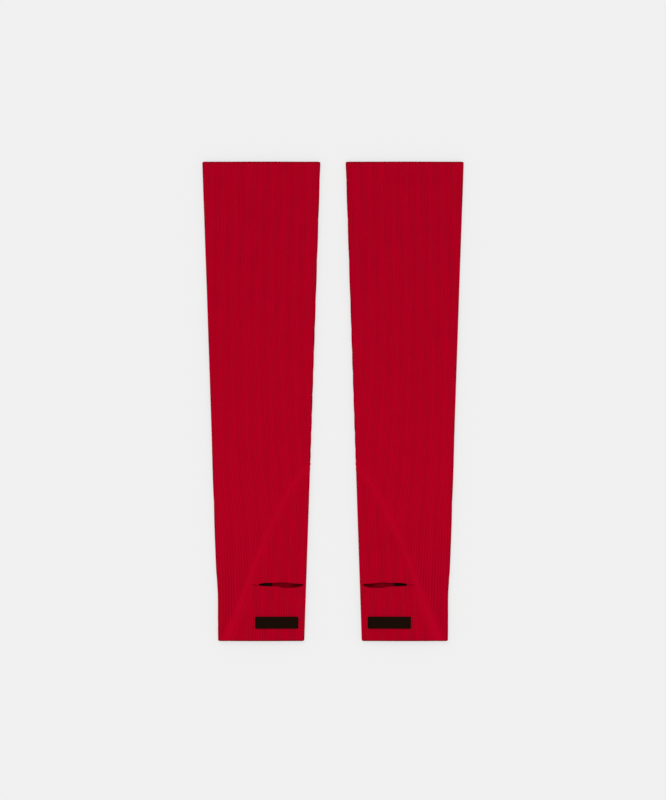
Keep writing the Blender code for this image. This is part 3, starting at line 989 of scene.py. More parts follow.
@dataclass
class WristPanel(Panel):
    """The wrist's panel, let in below the diagonal seam, with the slit."""

    name: str = "wrist_panel"
    row_step: float = 1.7 * MM
    inside_columns: int = 2
    # painted shade in the grooves between the ribs, by height
    painted_groove_shade: Curve = Curve((0, 60, 150), (0.81, 0.81, 0.85))
    # painted light along the sleeve, by height
    painted_light_by_height: Curve = Curve((0, 50, 150), (1.01, 1.035, 1.045))
    slit: Slit | None = Slit()
    tip: float = 0.15 * MM  # from its top row up to where its edges would meet
    tip_room: float = 0.5 * MM  # other rows nearer to the top one are left out
    lip_room: float = 1.5 * MM  # and so are those this near to the slit, which has its own
    past_tip: float = 3 * MM  # how far the even rows go on, so that the tip isn't rounded off

    def rib(self, across: Array, height: Array) -> Array:
        """The rib coordinate of a place."""
        return self.pattern.wrist_rib(across, height)

    def place(self, rib: Array, height: Array) -> Array:
        """The distance round the tube of a rib coordinate."""
        return self.pattern.wrist_place(rib, height)

    def edges(self) -> tuple[Line, Line]:
        """The closing seam on the left and the diagonal seam on the right."""
        closing, diagonal = self.pattern.closing[-1], self.pattern.diagonal
        return closing.beside(self.under_tape), diagonal.beside(-self.under_tape)

    def heights(self) -> Array:
        """Rows from the hem to where the seams meet, close together at the slit's lips.

        Returns:
            Their heights.
        """
        top = self.pattern.seams_meet(-self.under_tape, self.under_tape) - self.tip
        rounding = np.array(self.edge.steps[1:]) * self.edge.radius
        lips = np.concatenate([-rounding[::-1], [0.0], rounding]) + self.slit.height
        rows = self.edge.rows(0.0, top + self.past_tip, self.row_step)
        rows = rows[(rows < top - self.tip_room) & (np.abs(rows - self.slit.height) > self.lip_room)]
        return np.sort(np.concatenate([rows, lips, [top]]))


# ---- the tapes and their stitches ------------------------------------------------------------------------
class TapePart(Enum):
    """What a point of a tape's outline in section belongs to."""

    FACE = "the face"
    UNDER = "the wings' other side"
    FOOT = "the foot between the panels"


@dataclass
class Tape:
    """A flat tape over a seam: a low band with its wings on the panels' edges and its foot between them."""

    side: Side
    pattern: Pattern
    finish: bpy.types.Material
    name: str
    seam: Seam
    high: Callable[[float], float]  # where the tape ends, beside the seam's middle
    row_step: float = 1.0 * MM
    half_width: float = 2.4 * MM
    level: float = 0.3  # the share of it where its face is level
    face_points: int = 15
    slant: float = 0.05 * MM  # how much narrower its wings are on the other side
    middle: tuple[float, float] = (0.46 * MM, -0.08 * MM)  # its face's lift on the front and where it rests
    rim: tuple[float, float] = (-0.03 * MM, -0.40 * MM)  # that of its edges
    wing_under: tuple[float, float] = (-0.24 * MM, -0.55 * MM)  # and that of its wings' other side
    foot: tuple[float, float] = (1.02 * MM, -1.12 * MM)  # its half width and its lift
    inset: float = 0.03 * MM  # from the hems' planes to its ends
    rim_light: float = 0.04  # painted light: how much lighter its edges are
    stitch_stand: float = 0.03  # millimetres from its face up to its stitches' middle
    stitch_dive: float = 0.12  # and how many less on the folds
    edge: Edge = Edge()

    def face_lift(self, aside: Array | float, resting: Array) -> Array:
        """The lift of the tape's face, at distances from the seam's middle where the tape isn't widened."""
        middle, rim = (low + (high - low) * resting for low, high in (self.middle, self.rim))
        return middle + (rim - middle) * smoothstep(np.abs(aside) / self.half_width, self.level, 1.0)

    def under_lift(self, resting: Array) -> Array:
        """The lift of the wings' other side, which is sunk a little into the pressed cloth."""
        return self.wing_under[0] + (self.wing_under[1] - self.wing_under[0]) * resting

    def profile(self) -> list[tuple[float, TapePart]]:
        """The tape's outline in section, against the clock.

        Returns:
            Its points' distances from the seam's middle and what they belong to.
        """
        wing, foot = self.half_width - self.slant, self.foot[0]
        face = self.half_width * np.linspace(1.0, -1.0, self.face_points)
        return [
            *((aside, TapePart.FACE) for aside in face),
            *((-wing, TapePart.UNDER), (-foot, TapePart.UNDER), (-foot, TapePart.FOOT)),
            *((foot, TapePart.FOOT), (foot, TapePart.UNDER), (wing, TapePart.UNDER)),
        ]

    def lift(self, aside: float, part: TapePart, height: Array, resting: Array) -> Array:
        """The lifts of one line of points along the tape, sunk a little at the hems.

        Args:
            aside: the line's distance from the seam's middle.
            part: what it belongs to.
            height: the points' heights.
            resting: how far they rest on the floor.

        Returns:
            The lifts.
        """
        sink = self.edge.sink(self.pattern.tube.to_hem(height))
        if part is TapePart.FOOT:
            return self.foot[1] + self.edge.inside_share * sink
        lift = self.face_lift(aside, resting) if part is TapePart.FACE else self.under_lift(resting)
        return lift - self.edge.held(sink, resting)

    def close(self, mesh: ClothMesh, loop: Array, height: float, outside: bool) -> None:
        """Closes one end of the tape, with a point in the middle of its section.

        Args:
            mesh: the tape's mesh.
            loop: the points round the end.
            height: the end's height.
            outside: whether the end faces the wrist.
        """
        here = np.array([height])
        across = self.seam.beside(0.0)(here)
        resting = self.pattern.tube.resting(across, here)
        sink = self.edge.sink(self.pattern.tube.to_hem(here))
        lift = 0.5 * (self.face_lift(0.0, resting) + self.under_lift(resting)) - self.edge.held(sink, resting)
        centre = mesh.add(across, here, lift, np.zeros((1, 2)))[0]
        mesh.cap(loop, int(centre), outside)

    def build(self) -> bpy.types.Object:
        """Makes the tape's object.

        Returns:
            The object.
        """
        tube = self.pattern.tube
        mesh = ClothMesh(tube, self.side)
        longest = max(self.high(x) for x in (-self.half_width, self.half_width))
        shares = self.edge.rows(0.0, longest, self.row_step) / longest
        columns = []
        for aside, part in self.profile():
            height = self.inset + shares * (self.high(aside) - 2 * self.inset)
            across = self.seam.beside(aside, abs(aside) > self.foot[0])(height)
            lift = self.lift(aside, part, height, tube.resting(across, height))
            along = np.interp(height, self.seam.height, self.seam.along)
            weave = np.column_stack([np.full_like(along, aside), along]) / MM
            # darker along the hems, with painted light on the tape's edges
            shade = tube.hem_shade(height) * (1 + self.rim_light * abs(aside) / self.half_width)
            columns.append(mesh.add(across, height, lift, weave, shade))
        loops = np.array(columns).T
        for lower, upper in zip(loops, loops[1:]):
            mesh.quads(np.append(upper, upper[0]), np.append(lower, lower[0]))
        self.close(mesh, loops[0], self.inset, True)
        self.close(mesh, loops[-1], self.high(0.0) - self.inset, False)
        return mesh.object(f"{self.name}_cloth_{self.side.word}", self.finish)


@dataclass(frozen=True)
class StitchShape:
    """One stitch as it shows: a short rounded thread that dives into the cloth at both ends."""

    length: float = 2.0 * MM
    width: float = 0.3 * MM
    height: float = 0.24 * MM

    def model(self) -> tuple[Array, list[list[int]]]:
        """Models the stitch and takes its points and faces.

        Returns:
            The points, along, across and above the seam, and the faces.
        """
        bpy.ops.object.select_all(action="DESELECT")
        bpy.ops.mesh.primitive_uv_sphere_add(segments=8, ring_count=6, radius=0.5)
        made = bpy.context.object
        bpy.ops.object.mode_set(mode="EDIT")
        bpy.ops.transform.rotate(value=math.pi / 2, orient_axis="Y", center_override=(0, 0, 0))
        bpy.ops.transform.resize(value=(self.length, self.width, self.height), center_override=(0, 0, 0))
        bpy.ops.object.mode_set(mode="OBJECT")
        data = made.data
        points = np.array([vertex.co for vertex in data.vertices])
        faces = sorted(list(polygon.vertices) for polygon in data.polygons)  # the sphere's own order varies
        bpy.data.objects.remove(made)
        bpy.data.meshes.remove(data)
        return points, faces


class Stitching:
    """Many stitches of one shape, gathered into one mesh."""

    def __init__(self, tube: PressedTube, side: Side, shape: StitchShape) -> None:
        """Starts with no stitches."""
        self.mesh = ClothMesh(tube, side)
        self.points, self.faces = shape.model()

    def add(
        self, across: Array, height: Array, drift: Array, rise: Array, lift: Callable[[Array, Array], Array]
    ) -> None:
        """Sews a run of stitches.

        Args:
            across: the distances round the tube of their middles.
            height: their heights.
            drift: the part of their direction that runs round the tube.
            rise: the part that runs along the sleeve.
            lift: gives the lift of their middle lines at distances round the tube and heights.
        """
        x, y, z = self.points.T
        at_across = across[:, None] + drift[:, None] * x - rise[:, None] * y
        at_height = height[:, None] + rise[:, None] * x + drift[:, None] * y
        at_lift = lift(at_across, at_height) + z
        weave = np.tile(np.column_stack([y, x]) / MM, (len(across), 1))
        numbers = self.mesh.add(at_across.ravel(), at_height.ravel(), at_lift.ravel(), weave)
        for start in numbers[:: len(x)]:
            self.mesh.faces.extend([[int(start) + corner for corner in face] for face in self.faces])

    def along_tape(self, tape: Tape, aside: float, start: float, end: float, pitch: float) -> None:
        """Sews a line of stitches along a tape.

        Args:
            tape: the tape.
            aside: the line's distance from the seam's middle.
            start: the height where it starts.
            end: the height where it stops.
            pitch: from one stitch to the next.
        """
        first, last = np.interp([start, end], tape.seam.height, tape.seam.along)
        along = np.arange(first, last, pitch)
        _, level = tape.seam.place(along, 0.0)
        across, height = tape.seam.place(along, aside * tape.seam.widening(level, aside))
        drift, rise = tape.seam.direction(along)
        inside = height > start
        across, height, drift, rise = (values[inside] for values in (across, height, drift, rise))
        tube = tape.pattern.tube

        def lift(x: Array, y: Array) -> Array:
            """The lift of the stitches' middle lines, which sink into the tape round the folds."""
            stand = tape.stitch_stand - tape.stitch_dive * np.sin(tube.turn(x, y))
            return tape.face_lift(aside, tube.resting(x, y)) + stand * MM

        self.add(across, height, drift, rise, lift)

    def object(self, name: str, finish: bpy.types.Material) -> bpy.types.Object:
        """Makes one object of all the stitches."""
        return self.mesh.object(name, finish)


# ---- the label and the patch -----------------------------------------------------------------------------
@dataclass
class Slab:
    """A thin flat piece with rounded corners and edges, laid on the cloth."""

    side: Side
    pattern: Pattern
    finish: bpy.types.Material
    name: str
    length: float
    width: float
    corner: float
    lifts: tuple[float, float]  # of its face towards the outside, and of the other one
    place: Callable[[Array, Array], tuple[Array, Array]]  # its own x and y to across and height
    step: float = 0.8 * MM
    rounding: float = 0.16 * MM
    hem: float = 0.0  # how far its ends and edges stand up where they are turned in
    hem_width: float = 1.3 * MM
    hem_slope: float = 0.2 * MM

    def grid(self) -> tuple[Array, Array, Array]:
        """Its points in its own plane, column by column.

        Returns:
            Their x, their y and their distances from the rim.
        """
        edge = Edge(self.rounding)
        x = edge.rows(-self.length / 2, self.length / 2, self.step)
        share = edge.rows(0.0, self.width, self.step) / self.width
        past = np.maximum(np.abs(x) - (self.length / 2 - self.corner), 0.0)
        inset = self.corner - np.sqrt(np.maximum(self.corner**2 - past**2, 0.0))
        half = self.width / 2 - inset
        xs = np.repeat(x[:, None], len(share), 1)
        ys = half[:, None] * (2 * share - 1)
        rim = np.minimum(self.length / 2 - np.abs(xs), half[:, None] - np.abs(ys))
        return xs, ys, rim

    def build(self) -> bpy.types.Object:
        """Makes the object.

        Returns:
            The object.
        """
        mesh = ClothMesh(self.pattern.tube, self.side)
        x, y, rim = self.grid()
        across, height = self.place(x, y)
        sink = Edge(self.rounding).sink(rim)
        turned_in = self.hem * (1 - smoothstep(rim, self.hem_width - self.hem_slope, self.hem_width))
        weave = np.column_stack([x.ravel(), y.ravel()]) / MM
        faces = []
        for lift, way in zip(self.lifts, (1, -1)):
            lifts = lift + way * (turned_in * (way > 0) - sink)
            faces.append(mesh.add(across.ravel(), height.ravel(), lifts.ravel(), weave).reshape(x.shape))
        for numbers, outside in zip(faces, (True, False)):
            for left, right in zip(numbers, numbers[1:]):
                mesh.quads(right, left, outside)
        top, bottom = (
            np.concatenate([numbers[:-1, 0], numbers[-1, :-1], numbers[:0:-1, -1], numbers[0, :0:-1]])
            for numbers in faces
        )
        mesh.quads(np.append(bottom, bottom[0]), np.append(top, top[0]))
        return mesh.object(f"{self.name}_cloth_{self.side.word}", self.finish)


# ---- node groups and finishes ----------------------------------------------------------------------------
class Graph:
    """A node tree, written a node at a time."""

    def __init__(self, tree: bpy.types.NodeTree) -> None:
        """Starts with an empty tree."""
        self.tree = tree
        tree.nodes.clear()

    def node(self, kind: str, inputs: dict[Any, Any] | None = None, **settings: Any) -> Node:
        """Adds a node.

        Args:
            kind: its type.
            inputs: plain values, or sockets to link, by the name or number of the node's input.
            **settings: its own settings.

        Returns:
            The node.
        """
        made = self.tree.nodes.new(kind)
        for name, value in settings.items():
            setattr(made, name, value)
        for name, value in (inputs or {}).items():
            if isinstance(value, Socket):
                self.tree.links.new(value, made.inputs[name])
            else:
                made.inputs[name].default_value = value
        return made

    def math(self, operation: str, *values: Any) -> Socket:
        """Adds a Math node and returns its result."""
        return self.node("ShaderNodeMath", dict(enumerate(values)), operation=operation).outputs[0]

    def painted_relief_shade(self, height: Socket, low: float, high: float) -> Socket:
        """Turns a relief from 0 to 1 into painted shades from low to high, darker in its hollows, and returns
        them.
        """
        inputs = {"Value": height, "To Min": low, "To Max": high}
        return self.node("ShaderNodeMapRange", inputs).outputs[0]

    def scaled(self, colour: Colour, factor: Socket) -> Socket:
        """A colour times a factor that changes over the surface."""
        return self.node("ShaderNodeVectorMath", {0: colour, "Scale": factor}, operation="SCALE").outputs[0]


def new_group(name: str, inputs: dict[str, float | None], output: str) -> tuple[Graph, Any]:
    """Makes a shader node group with one output, which has no output node yet.

    Args:
        name: the group's name.
        inputs: its inputs with their default values, or None for a vector.
        output: the name of its output.

    Returns:
        Its graph and the sockets of its inputs, by name.
    """
    tree = bpy.data.node_groups.new(name, "ShaderNodeTree")
    for socket, value in inputs.items():
        kind = "NodeSocketVector" if value is None else "NodeSocketFloat"
        made = tree.interface.new_socket(socket, in_out="INPUT", socket_type=kind)
        if value is not None:
            made.default_value = value
    tree.interface.new_socket(output, in_out="OUTPUT", socket_type="NodeSocketFloat")
    graph = Graph(tree)
    return graph, graph.node("NodeGroupInput").outputs


def knit_loops() -> bpy.types.NodeTree:
    """The knit's columns of stitches: V shapes on the crests and in the grooves.

    Returns:
        The node group.
    """
    graph, given = new_group("knit loops", {"Wale": 0.0, "Course": 0.0, "Slant": 1.1}, "Height")
    beside = graph.math("ABSOLUTE", graph.math("SUBTRACT", graph.math("FRACT", given["Wale"]), 0.5))
    phase = graph.math("SUBTRACT", given["Course"], graph.math("MULTIPLY", beside, given["Slant"]))
    wave = graph.math("COSINE", graph.math("MULTIPLY", phase, 2 * math.pi))
    loop = graph.math("MULTIPLY_ADD", wave, 0.5, 0.5)
    round_leg = graph.math("SINE", graph.math("MULTIPLY", beside, 2 * math.pi))
    leg = graph.math("POWER", graph.math("MAXIMUM", round_leg, 0.0), 0.6)
    graph.node("NodeGroupOutput", {"Height": graph.math("MULTIPLY", loop, leg)})
    return graph.tree


def plain_weave() -> bpy.types.NodeTree:
    """Threads that pass over and under each other.

    Returns:
        The node group.
    """
    graph, given = new_group("plain weave", {"Warp": 0.0, "Weft": 0.0}, "Height")
    warp, weft = (
        graph.math("ABSOLUTE", graph.math("SINE", graph.math("MULTIPLY", given[name], math.pi)))
        for name in ("Warp", "Weft")
    )
    square = graph.math("ADD", *(graph.math("FLOOR", given[name]) for name in ("Warp", "Weft")))
    turn = graph.math("PINGPONG", square, 1.0)
    over = graph.math("MULTIPLY", warp, turn)
    under = graph.math("MULTIPLY", weft, graph.math("SUBTRACT", 1.0, turn))
    graph.node("NodeGroupOutput", {"Height": graph.math("ADD", over, under)})
    return graph.tree


def yarn_shade() -> bpy.types.NodeTree:
    """How much lighter or darker the yarn is from place to place, around 1.

    Returns:
        The node group.
    """
    graph, given = new_group("yarn shade", {"Vector": None, "Scale": 60.0, "Amount": 0.03}, "Shade")
    inputs = {"Vector": given["Vector"], "Scale": given["Scale"], "Detail": 3.0}
    noise = graph.node("ShaderNodeTexNoise", inputs)
    around = graph.math("SUBTRACT", noise.outputs["Fac"], 0.5)
    shade = graph.math("MULTIPLY_ADD", graph.math("MULTIPLY", around, given["Amount"]), 4.0, 1.0)
    graph.node("NodeGroupOutput", {"Shade": shade})
    return graph.tree


@dataclass
class Effects:
    """The node groups that the finishes share."""

    knit: bpy.types.NodeTree = field(default_factory=knit_loops)
    weave: bpy.types.NodeTree = field(default_factory=plain_weave)
    shade: bpy.types.NodeTree = field(default_factory=yarn_shade)


@dataclass(frozen=True)
class Finish:
    """What all the cloth finishes have."""

    effects: Effects
    name: str
    colour: Colour
    roughness: float = 0.9
    gloss: float = 0.0
    sheen: float = 0.15
    sheen_roughness: float = 0.45
    sheen_tint: Colour = (1.0, 0.03, 0.1)
    relief: float = 0.06 * MM
    shades: tuple[float, float] = (0.92, 1.03)  # painted shade from the relief: between the threads and on them
    mottle: float = 0.03

    def height(self, graph: Graph, weave: Node) -> Socket:
        """The relief of the cloth's surface, from 0 to 1."""
        raise NotImplementedError

    def material(self) -> bpy.types.Material:
        """Makes the material.

        Returns:
            The material.
        """
        made = bpy.data.materials.new(self.name)
        made.use_nodes = True
        graph = Graph(made.node_tree)
        map_place = graph.node("ShaderNodeUVMap", uv_map="weave").outputs[0]
        height = self.height(graph, graph.node("ShaderNodeSeparateXYZ", {0: map_place}))
        inputs = {"Vector": graph.node("ShaderNodeTexCoord").outputs["Object"], "Amount": self.mottle}
        mottle = graph.node("ShaderNodeGroup", inputs, node_tree=self.effects.shade).outputs["Shade"]
        # painted shade from the relief, times the yarn's own mottle; then the mesh's shade attribute, of
        # painted shade and light with the cloth's own tone
        yarn = graph.math("MULTIPLY", graph.painted_relief_shade(height, *self.shades), mottle)
        given = graph.node("ShaderNodeAttribute", attribute_name="shade").outputs["Fac"]
        factor = graph.math("MULTIPLY", yarn, given)
        bump = graph.node("ShaderNodeBump", {"Strength": 1.0, "Distance": self.relief, "Height": height})
        shader = graph.node(
            "ShaderNodeBsdfPrincipled",
            {
                "Base Color": graph.scaled(self.colour, factor),
                "Roughness": self.roughness,
                "Specular IOR Level": self.gloss,
                "Sheen Weight": self.sheen,
                "Sheen Roughness": self.sheen_roughness,
                "Sheen Tint": (*self.sheen_tint, 1.0),
                "Normal": bump.outputs[0],
            },
        )
        graph.node("ShaderNodeOutputMaterial", {"Surface": shader.outputs[0]})
        return made


@dataclass(frozen=True)
class RibKnit(Finish):
    """The sleeves' elastic knit: columns of stitches along the ribs, with painted shade between the stitches.
    """

    relief: float = 0.09 * MM
    # painted shade from the relief
    shades: tuple[float, float] = (0.92, 1.05)

    def height(self, graph: Graph, weave: Node) -> Socket:
        """The relief of the columns of stitches, two for each rib.

        Args:
            graph: the material's graph.
            weave: the node with the cloth's own coordinates.

        Returns:
            The relief's socket.
        """
        wale = graph.math("MULTIPLY_ADD", weave.outputs["X"], 2.0, 0.5)
        inputs = {"Wale": wale, "Course": weave.outputs["Y"]}
        return graph.node("ShaderNodeGroup", inputs, node_tree=self.effects.knit).outputs["Height"]


@dataclass(frozen=True)
class TapeKnit(Finish):
    """The tapes' finer, smoother knit."""

    pitch: float = 0.45  # millimetres from one column of stitches to the next

    def height(self, graph: Graph, weave: Node) -> Socket:
        """The relief of the columns of stitches.

        Args:
            graph: the material's graph.
            weave: the node with the cloth's own coordinates.

        Returns:
            The relief's socket.
        """
        wale, course = (graph.math("DIVIDE", weave.outputs[axis], self.pitch) for axis in "XY")
        inputs = {"Wale": wale, "Course": course}
        return graph.node("ShaderNodeGroup", inputs, node_tree=self.effects.knit).outputs["Height"]


@dataclass(frozen=True)
class Woven(Finish):
    """A close plain weave."""

    pitch: float = 0.2  # millimetres from one thread to the next

    def height(self, graph: Graph, weave: Node) -> Socket:
        """The relief of the threads.

        Args:
            graph: the material's graph.
            weave: the node with the cloth's own coordinates.

        Returns:
            The relief's socket.
        """
        warp, weft = (graph.math("DIVIDE", weave.outputs[axis], self.pitch) for axis in "XY")
        inputs = {"Warp": warp, "Weft": weft}
        return graph.node("ShaderNodeGroup", inputs, node_tree=self.effects.weave).outputs["Height"]


@dataclass(frozen=True)
class Thread(Finish):
    """Sewing thread, twisted from two strands."""

    twist: float = 0.5  # millimetres for one turn

    def height(self, graph: Graph, weave: Node) -> Socket:
        """The relief of the strands, which run slanting round the thread.

        Args:
            graph: the material's graph.
            weave: the node with the thread's own coordinates.

        Returns:
            The relief's socket.
        """
        slanting = graph.math("ADD", weave.outputs["Y"], weave.outputs["X"])
        turned = graph.math("MULTIPLY", slanting, math.pi / self.twist)
        return graph.math("ABSOLUTE", graph.math("SINE", turned))


# ---- one sleeve ------------------------------------------------------------------------------------------
@dataclass(frozen=True)
class Wardrobe:
    """The materials of all the pieces."""

    knit: bpy.types.Material
    tape: bpy.types.Material
    thread: bpy.types.Material
    label: bpy.types.Material
    label_thread: bpy.types.Material
    patch: bpy.types.Material

    @classmethod
    def make(cls) -> "Wardrobe":
        """Makes them.

        Returns:
            The wardrobe.
        """
        effects = Effects()
        black, soft_black = (0.0105, 0.0042, 0.0022), (0.6, 0.5, 0.45)
        return cls(
            knit=RibKnit(effects, "rib_knit_red", (0.438, 0.0005, 0.0148)).material(),
            tape=TapeKnit(effects, "tape_red", (0.466, 0.0005, 0.0164)).material(),
            thread=Thread(effects, "thread_red", (0.45, 0.0007, 0.0150), relief=0.04 * MM).material(),
            label=Woven(effects, "label_black", black, sheen=0.05, sheen_tint=soft_black).material(),
            label_thread=Thread(effects, "thread_black", black, sheen=0.05, sheen_tint=soft_black).material(),
            patch=Woven(effects, "patch_black", (0.016, 0.004, 0.004), sheen=0.0).material(),
        )


@dataclass
class Sleeve:
    """One sleeve with its panels, tapes, stitches, label and inner patch."""

    side: Side
    pattern: Pattern
    wardrobe: Wardrobe
    tape_overlap: float = 1.8 * MM  # how far from the closing seam's middle the diagonal tape ends
    stitch_pitch: float = 2.4 * MM
    stitch_ends: tuple[float, float] = (1.5 * MM, 3 * MM)  # from the wrist hem and from a tape's upper end
    needle_line: float = 1.65 * MM  # from a seam's middle
    label_size: tuple[float, float] = (38 * MM, 10.5 * MM)
    label_middle: tuple[float, float] = (-13.5 * MM, 16.2 * MM)  # across and height
    label_lifts: tuple[float, float] = (0.92 * MM, 0.47 * MM)
    label_stitch: StitchShape = StitchShape(1.5 * MM, 0.2 * MM, 0.16 * MM)
    label_stitch_pitch: float = 1.8 * MM
    label_stitch_stand: float = 0.06 * MM  # from the label's face up to its stitches' middle
    label_stitch_inset: float = 0.75 * MM
    patch_across: tuple[float, float] = (-9.4 * MM, 6.5 * MM)
    patch_up: tuple[float, float] = (42 * MM, 56 * MM)
    patch_depth: tuple[float, float] = (0.03 * MM, 0.3 * MM)  # from the inside of the back to its two faces

    def settle(self, piece: bpy.types.Object, slot: Slot, *nodes: str) -> bpy.types.Object:
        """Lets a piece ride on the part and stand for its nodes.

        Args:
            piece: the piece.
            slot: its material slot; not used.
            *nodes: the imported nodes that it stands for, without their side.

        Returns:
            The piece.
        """
        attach(piece, BODY)
        if nodes:
            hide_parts(*(f"{node}_{self.side.word}" for node in nodes))
        log.info("%s: %d faces", piece.name, len(piece.data.polygons))
        return piece

    def tapes(self) -> tuple[Tape, Tape]:
        """The diagonal tape, which stops at the closing tape, and the closing tape.

        Returns:
            The two tapes.
        """
        pattern, finish = self.pattern, self.wardrobe.tape
        diagonal = Tape(
            self.side, pattern, finish, "diagonal_tape", pattern.diagonal,
            high=lambda aside: pattern.seams_meet(aside, self.tape_overlap),
        )
        closing = Tape(
            self.side, pattern, finish, "closing_tape", pattern.closing[-1],
            high=lambda _aside: pattern.tube.length, row_step=2.0 * MM,
        )
        return diagonal, closing

    def sew_tapes(self, tapes: tuple[Tape, Tape]) -> bpy.types.Object:
        """Sews two lines of stitches along each tape.

        Args:
            tapes: the tapes.

        Returns:
            One object with all the stitches.
        """
        stitching = Stitching(self.pattern.tube, self.side, StitchShape())
        start, stop = self.stitch_ends
        for tape in tapes:
            for line in (-self.needle_line, self.needle_line):
                stitching.along_tape(tape, line, start, tape.high(0.0) - stop, self.stitch_pitch)
        return stitching.object(f"seam_stitches_{self.side.word}", self.wardrobe.thread)

    def label(self) -> Slab:
        """The bare label below the slit.

        Returns:
            The label.
        """
        across, height = self.label_middle
        return Slab(
            self.side, self.pattern, self.wardrobe.label, "woven_label", *self.label_size,
            corner=1.3 * MM, lifts=self.label_lifts, place=lambda x, y: (across + x, height + y),
            hem=0.05 * MM,
        )

    def sew_label(self) -> bpy.types.Object:
        """Sews the stitches round the label.

        Returns:
            One object with all of them.
        """
        stitching = Stitching(self.pattern.tube, self.side, self.label_stitch)
        half_length, half_width = (size / 2 - self.label_stitch_inset for size in self.label_size)
        middle_across, middle_height = self.label_middle
        lift = self.label_lifts[0] + self.label_stitch_stand
        for half, other, turned in ((half_length, half_width, False), (half_width, half_length, True)):
            count = round(2 * half / self.label_stitch_pitch)
            run = (np.arange(count) + 0.5) / count * 2 * half - half
            drift = np.full_like(run, 0.0 if turned else 1.0)
            for aside in (-other, other):
                x, y = (np.full_like(run, aside), run) if turned else (run, np.full_like(run, aside))
                across, height = middle_across + x, middle_height + y
                stitching.add(across, height, drift, 1 - drift, lambda at, _: np.full_like(at, lift))
        return stitching.object(f"label_stitches_{self.side.word}", self.wardrobe.label_thread)

    def patch(self) -> Slab:
        """The dark patch on the inside of the back.

        Returns:
            The patch.
        """
        tube = self.pattern.tube
        (low, high), (bottom, top) = self.patch_across, self.patch_up

        def place(x: Array, y: Array) -> tuple[Array, Array]:
            """Lays the patch's own x and y on the back, reached over the inner fold."""
            height = (bottom + top) / 2 + y
            return tube.back_place((low + high) / 2 - x, height, -1), height

        near, far = (-tube.wall - depth for depth in self.patch_depth)
        return Slab(
            self.side, self.pattern, self.wardrobe.patch, "inner_patch", high - low, top - bottom,
            corner=1.0 * MM, lifts=(near, far), place=place, rounding=0.1 * MM,
        )

    def declare(self, panel: Panel, cloth: bpy.types.Object) -> None:
        """Logs a panel's cut: the whole cloth round the tube, from seam to seam.

        Args:
            panel: the panel.
            cloth: its object.
        """
        left, right = panel.edges()
        heights = panel.heights()
        width = float(np.max(right(heights)) - np.min(left(heights)))
        length = float(heights[-1])
        cut = (width / MM, length / MM, panel.area / MM**2)
        log.info("%s: cut %.1f x %.1f mm, %.0f square mm", cloth.name, *cut)

    def build(self) -> None:
        """Makes the sleeve's pieces and logs the cuts of its panels."""
        main = MainPanel(self.side, self.pattern, self.wardrobe.knit)
        wrist = WristPanel(self.side, self.pattern, self.wardrobe.knit)
        main_cloth = self.settle(main.build(), Slot.KNIT, main.name)
        wrist_cloth = self.settle(wrist.build(), Slot.KNIT, wrist.name)
        tapes = self.tapes()
        tape_cloths = [self.settle(tape.build(), Slot.TAPE, tape.name) for tape in tapes]
        stitches = self.settle(self.sew_tapes(tapes), Slot.TAPE)
        label, patch = self.label(), self.patch()
        label_cloth = self.settle(label.build(), Slot.LABEL, label.name)
        label_stitches = self.settle(self.sew_label(), Slot.LABEL)
        patch_cloth = self.settle(patch.build(), Slot.LABEL, patch.name)
        self.declare(main, main_cloth)
        self.declare(wrist, wrist_cloth)
        log.info("%s sleeve: %.0f mm long", self.side.word, self.pattern.tube.length / MM)


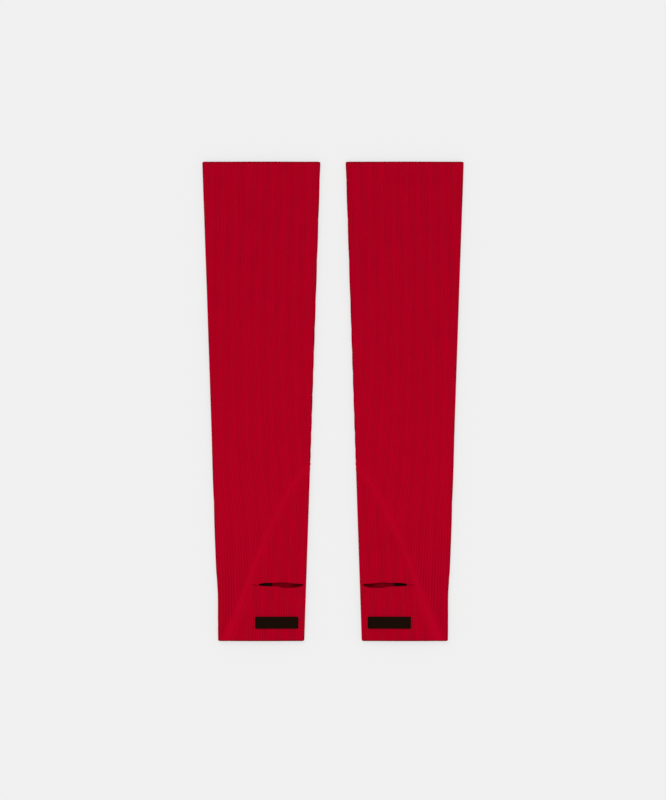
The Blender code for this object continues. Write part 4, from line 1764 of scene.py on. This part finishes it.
# ---- the studio ------------------------------------------------------------------------------------------
@dataclass(frozen=True)
class Studio:
    """The floor, the light and the camera."""

    floor_size: float = 30.0
    floor_level: float = -0.05 * MM
    floor_colour: Colour = (0.24, 0.24, 0.24)
    floor_glow: float = 0.62  # keeps the pieces' shadows on it faint
    sky: float = 0.87
    key_strength: float = 0.75
    key_spread: float = math.radians(50)
    key_turn: tuple[float, float, float] = (math.radians(-35), math.radians(-18), 0.0)
    view_height: float = 700.7 * MM  # what the frame takes in from bottom to top, at the cloth
    lens: float = 100.0
    sensor: float = 36.0
    middle: tuple[float, float, float] = (0.0, 1.2 * MM, 3.5 * MM)

    def floor(self) -> None:
        """The plain pale floor."""
        bpy.ops.object.select_all(action="DESELECT")
        bpy.ops.mesh.primitive_plane_add(size=self.floor_size, location=(0, 0, self.floor_level))
        made = bpy.context.object
        made.name = "floor"
        bpy.ops.object.transform_apply(location=True)
        material = bpy.data.materials.new("floor_pale")
        material.use_nodes = True
        graph = Graph(material.node_tree)
        shader = graph.node(
            "ShaderNodeBsdfPrincipled",
            {
                "Base Color": (*self.floor_colour, 1.0),
                "Roughness": 1.0,
                "Specular IOR Level": 0.0,
                "Emission Color": (1.0, 1.0, 1.0, 1.0),
                "Emission Strength": self.floor_glow,
            },
        )
        graph.node("ShaderNodeOutputMaterial", {"Surface": shader.outputs[0]})
        made.data.materials.append(material)
        made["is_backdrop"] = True

    def light(self) -> None:
        """An even sky and one soft key light."""
        world = bpy.data.worlds.new("studio")
        world.use_nodes = True
        graph = Graph(world.node_tree)
        white = (1.0, 1.0, 1.0, 1.0)
        background = graph.node("ShaderNodeBackground", {"Color": white, "Strength": self.sky})
        graph.node("ShaderNodeOutputWorld", {"Surface": background.outputs[0]})
        bpy.context.scene.world = world
        data = bpy.data.lights.new("key", "SUN")
        data.energy = self.key_strength
        data.angle = self.key_spread
        key = bpy.data.objects.new("key", data)
        key.rotation_euler = self.key_turn
        bpy.context.scene.collection.objects.link(key)

    def camera(self) -> None:
        """A camera that looks straight down."""
        data = bpy.data.cameras.new("camera")
        data.lens, data.sensor_width = self.lens, self.sensor
        camera = bpy.data.objects.new("camera", data)
        x, y, z = self.middle
        camera.location = (x, y, z + self.view_height * self.lens / self.sensor)
        bpy.context.scene.collection.objects.link(camera)
        bpy.context.scene.camera = camera

    def build(self) -> None:
        """Sets the studio up."""
        self.floor()
        self.light()
        self.camera()
        bpy.context.scene.view_settings.view_transform = "Standard"
        bpy.context.scene.view_settings.look = "None"


def write_sizes(cad: tuple[Any, Any], shown: tuple[Any, Any]) -> None:
    """Logs the boxes of the CAD model and of the visual model.

    Args:
        cad: the lowest and the highest corner of the CAD model's box.
        shown: those of the visual model's box.
    """
    sizes = {
        name: [[float(number) for number in corner] for corner in box]
        for name, box in (("cad", cad), ("visual", shown))
    }
    log.info("boxes: %s", sizes)


def main() -> None:
    """Builds the pair and the studio round it."""
    logging.basicConfig(level=logging.INFO, format="%(message)s", stream=sys.stdout)
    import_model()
    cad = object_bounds()
    pattern = Pattern(PressedTube())
    wardrobe = Wardrobe.make()
    for side in Side:
        Sleeve(side, pattern, wardrobe).build()
    Studio().build()
    write_sizes(cad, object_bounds())


if __name__ == "__main__":
    main()
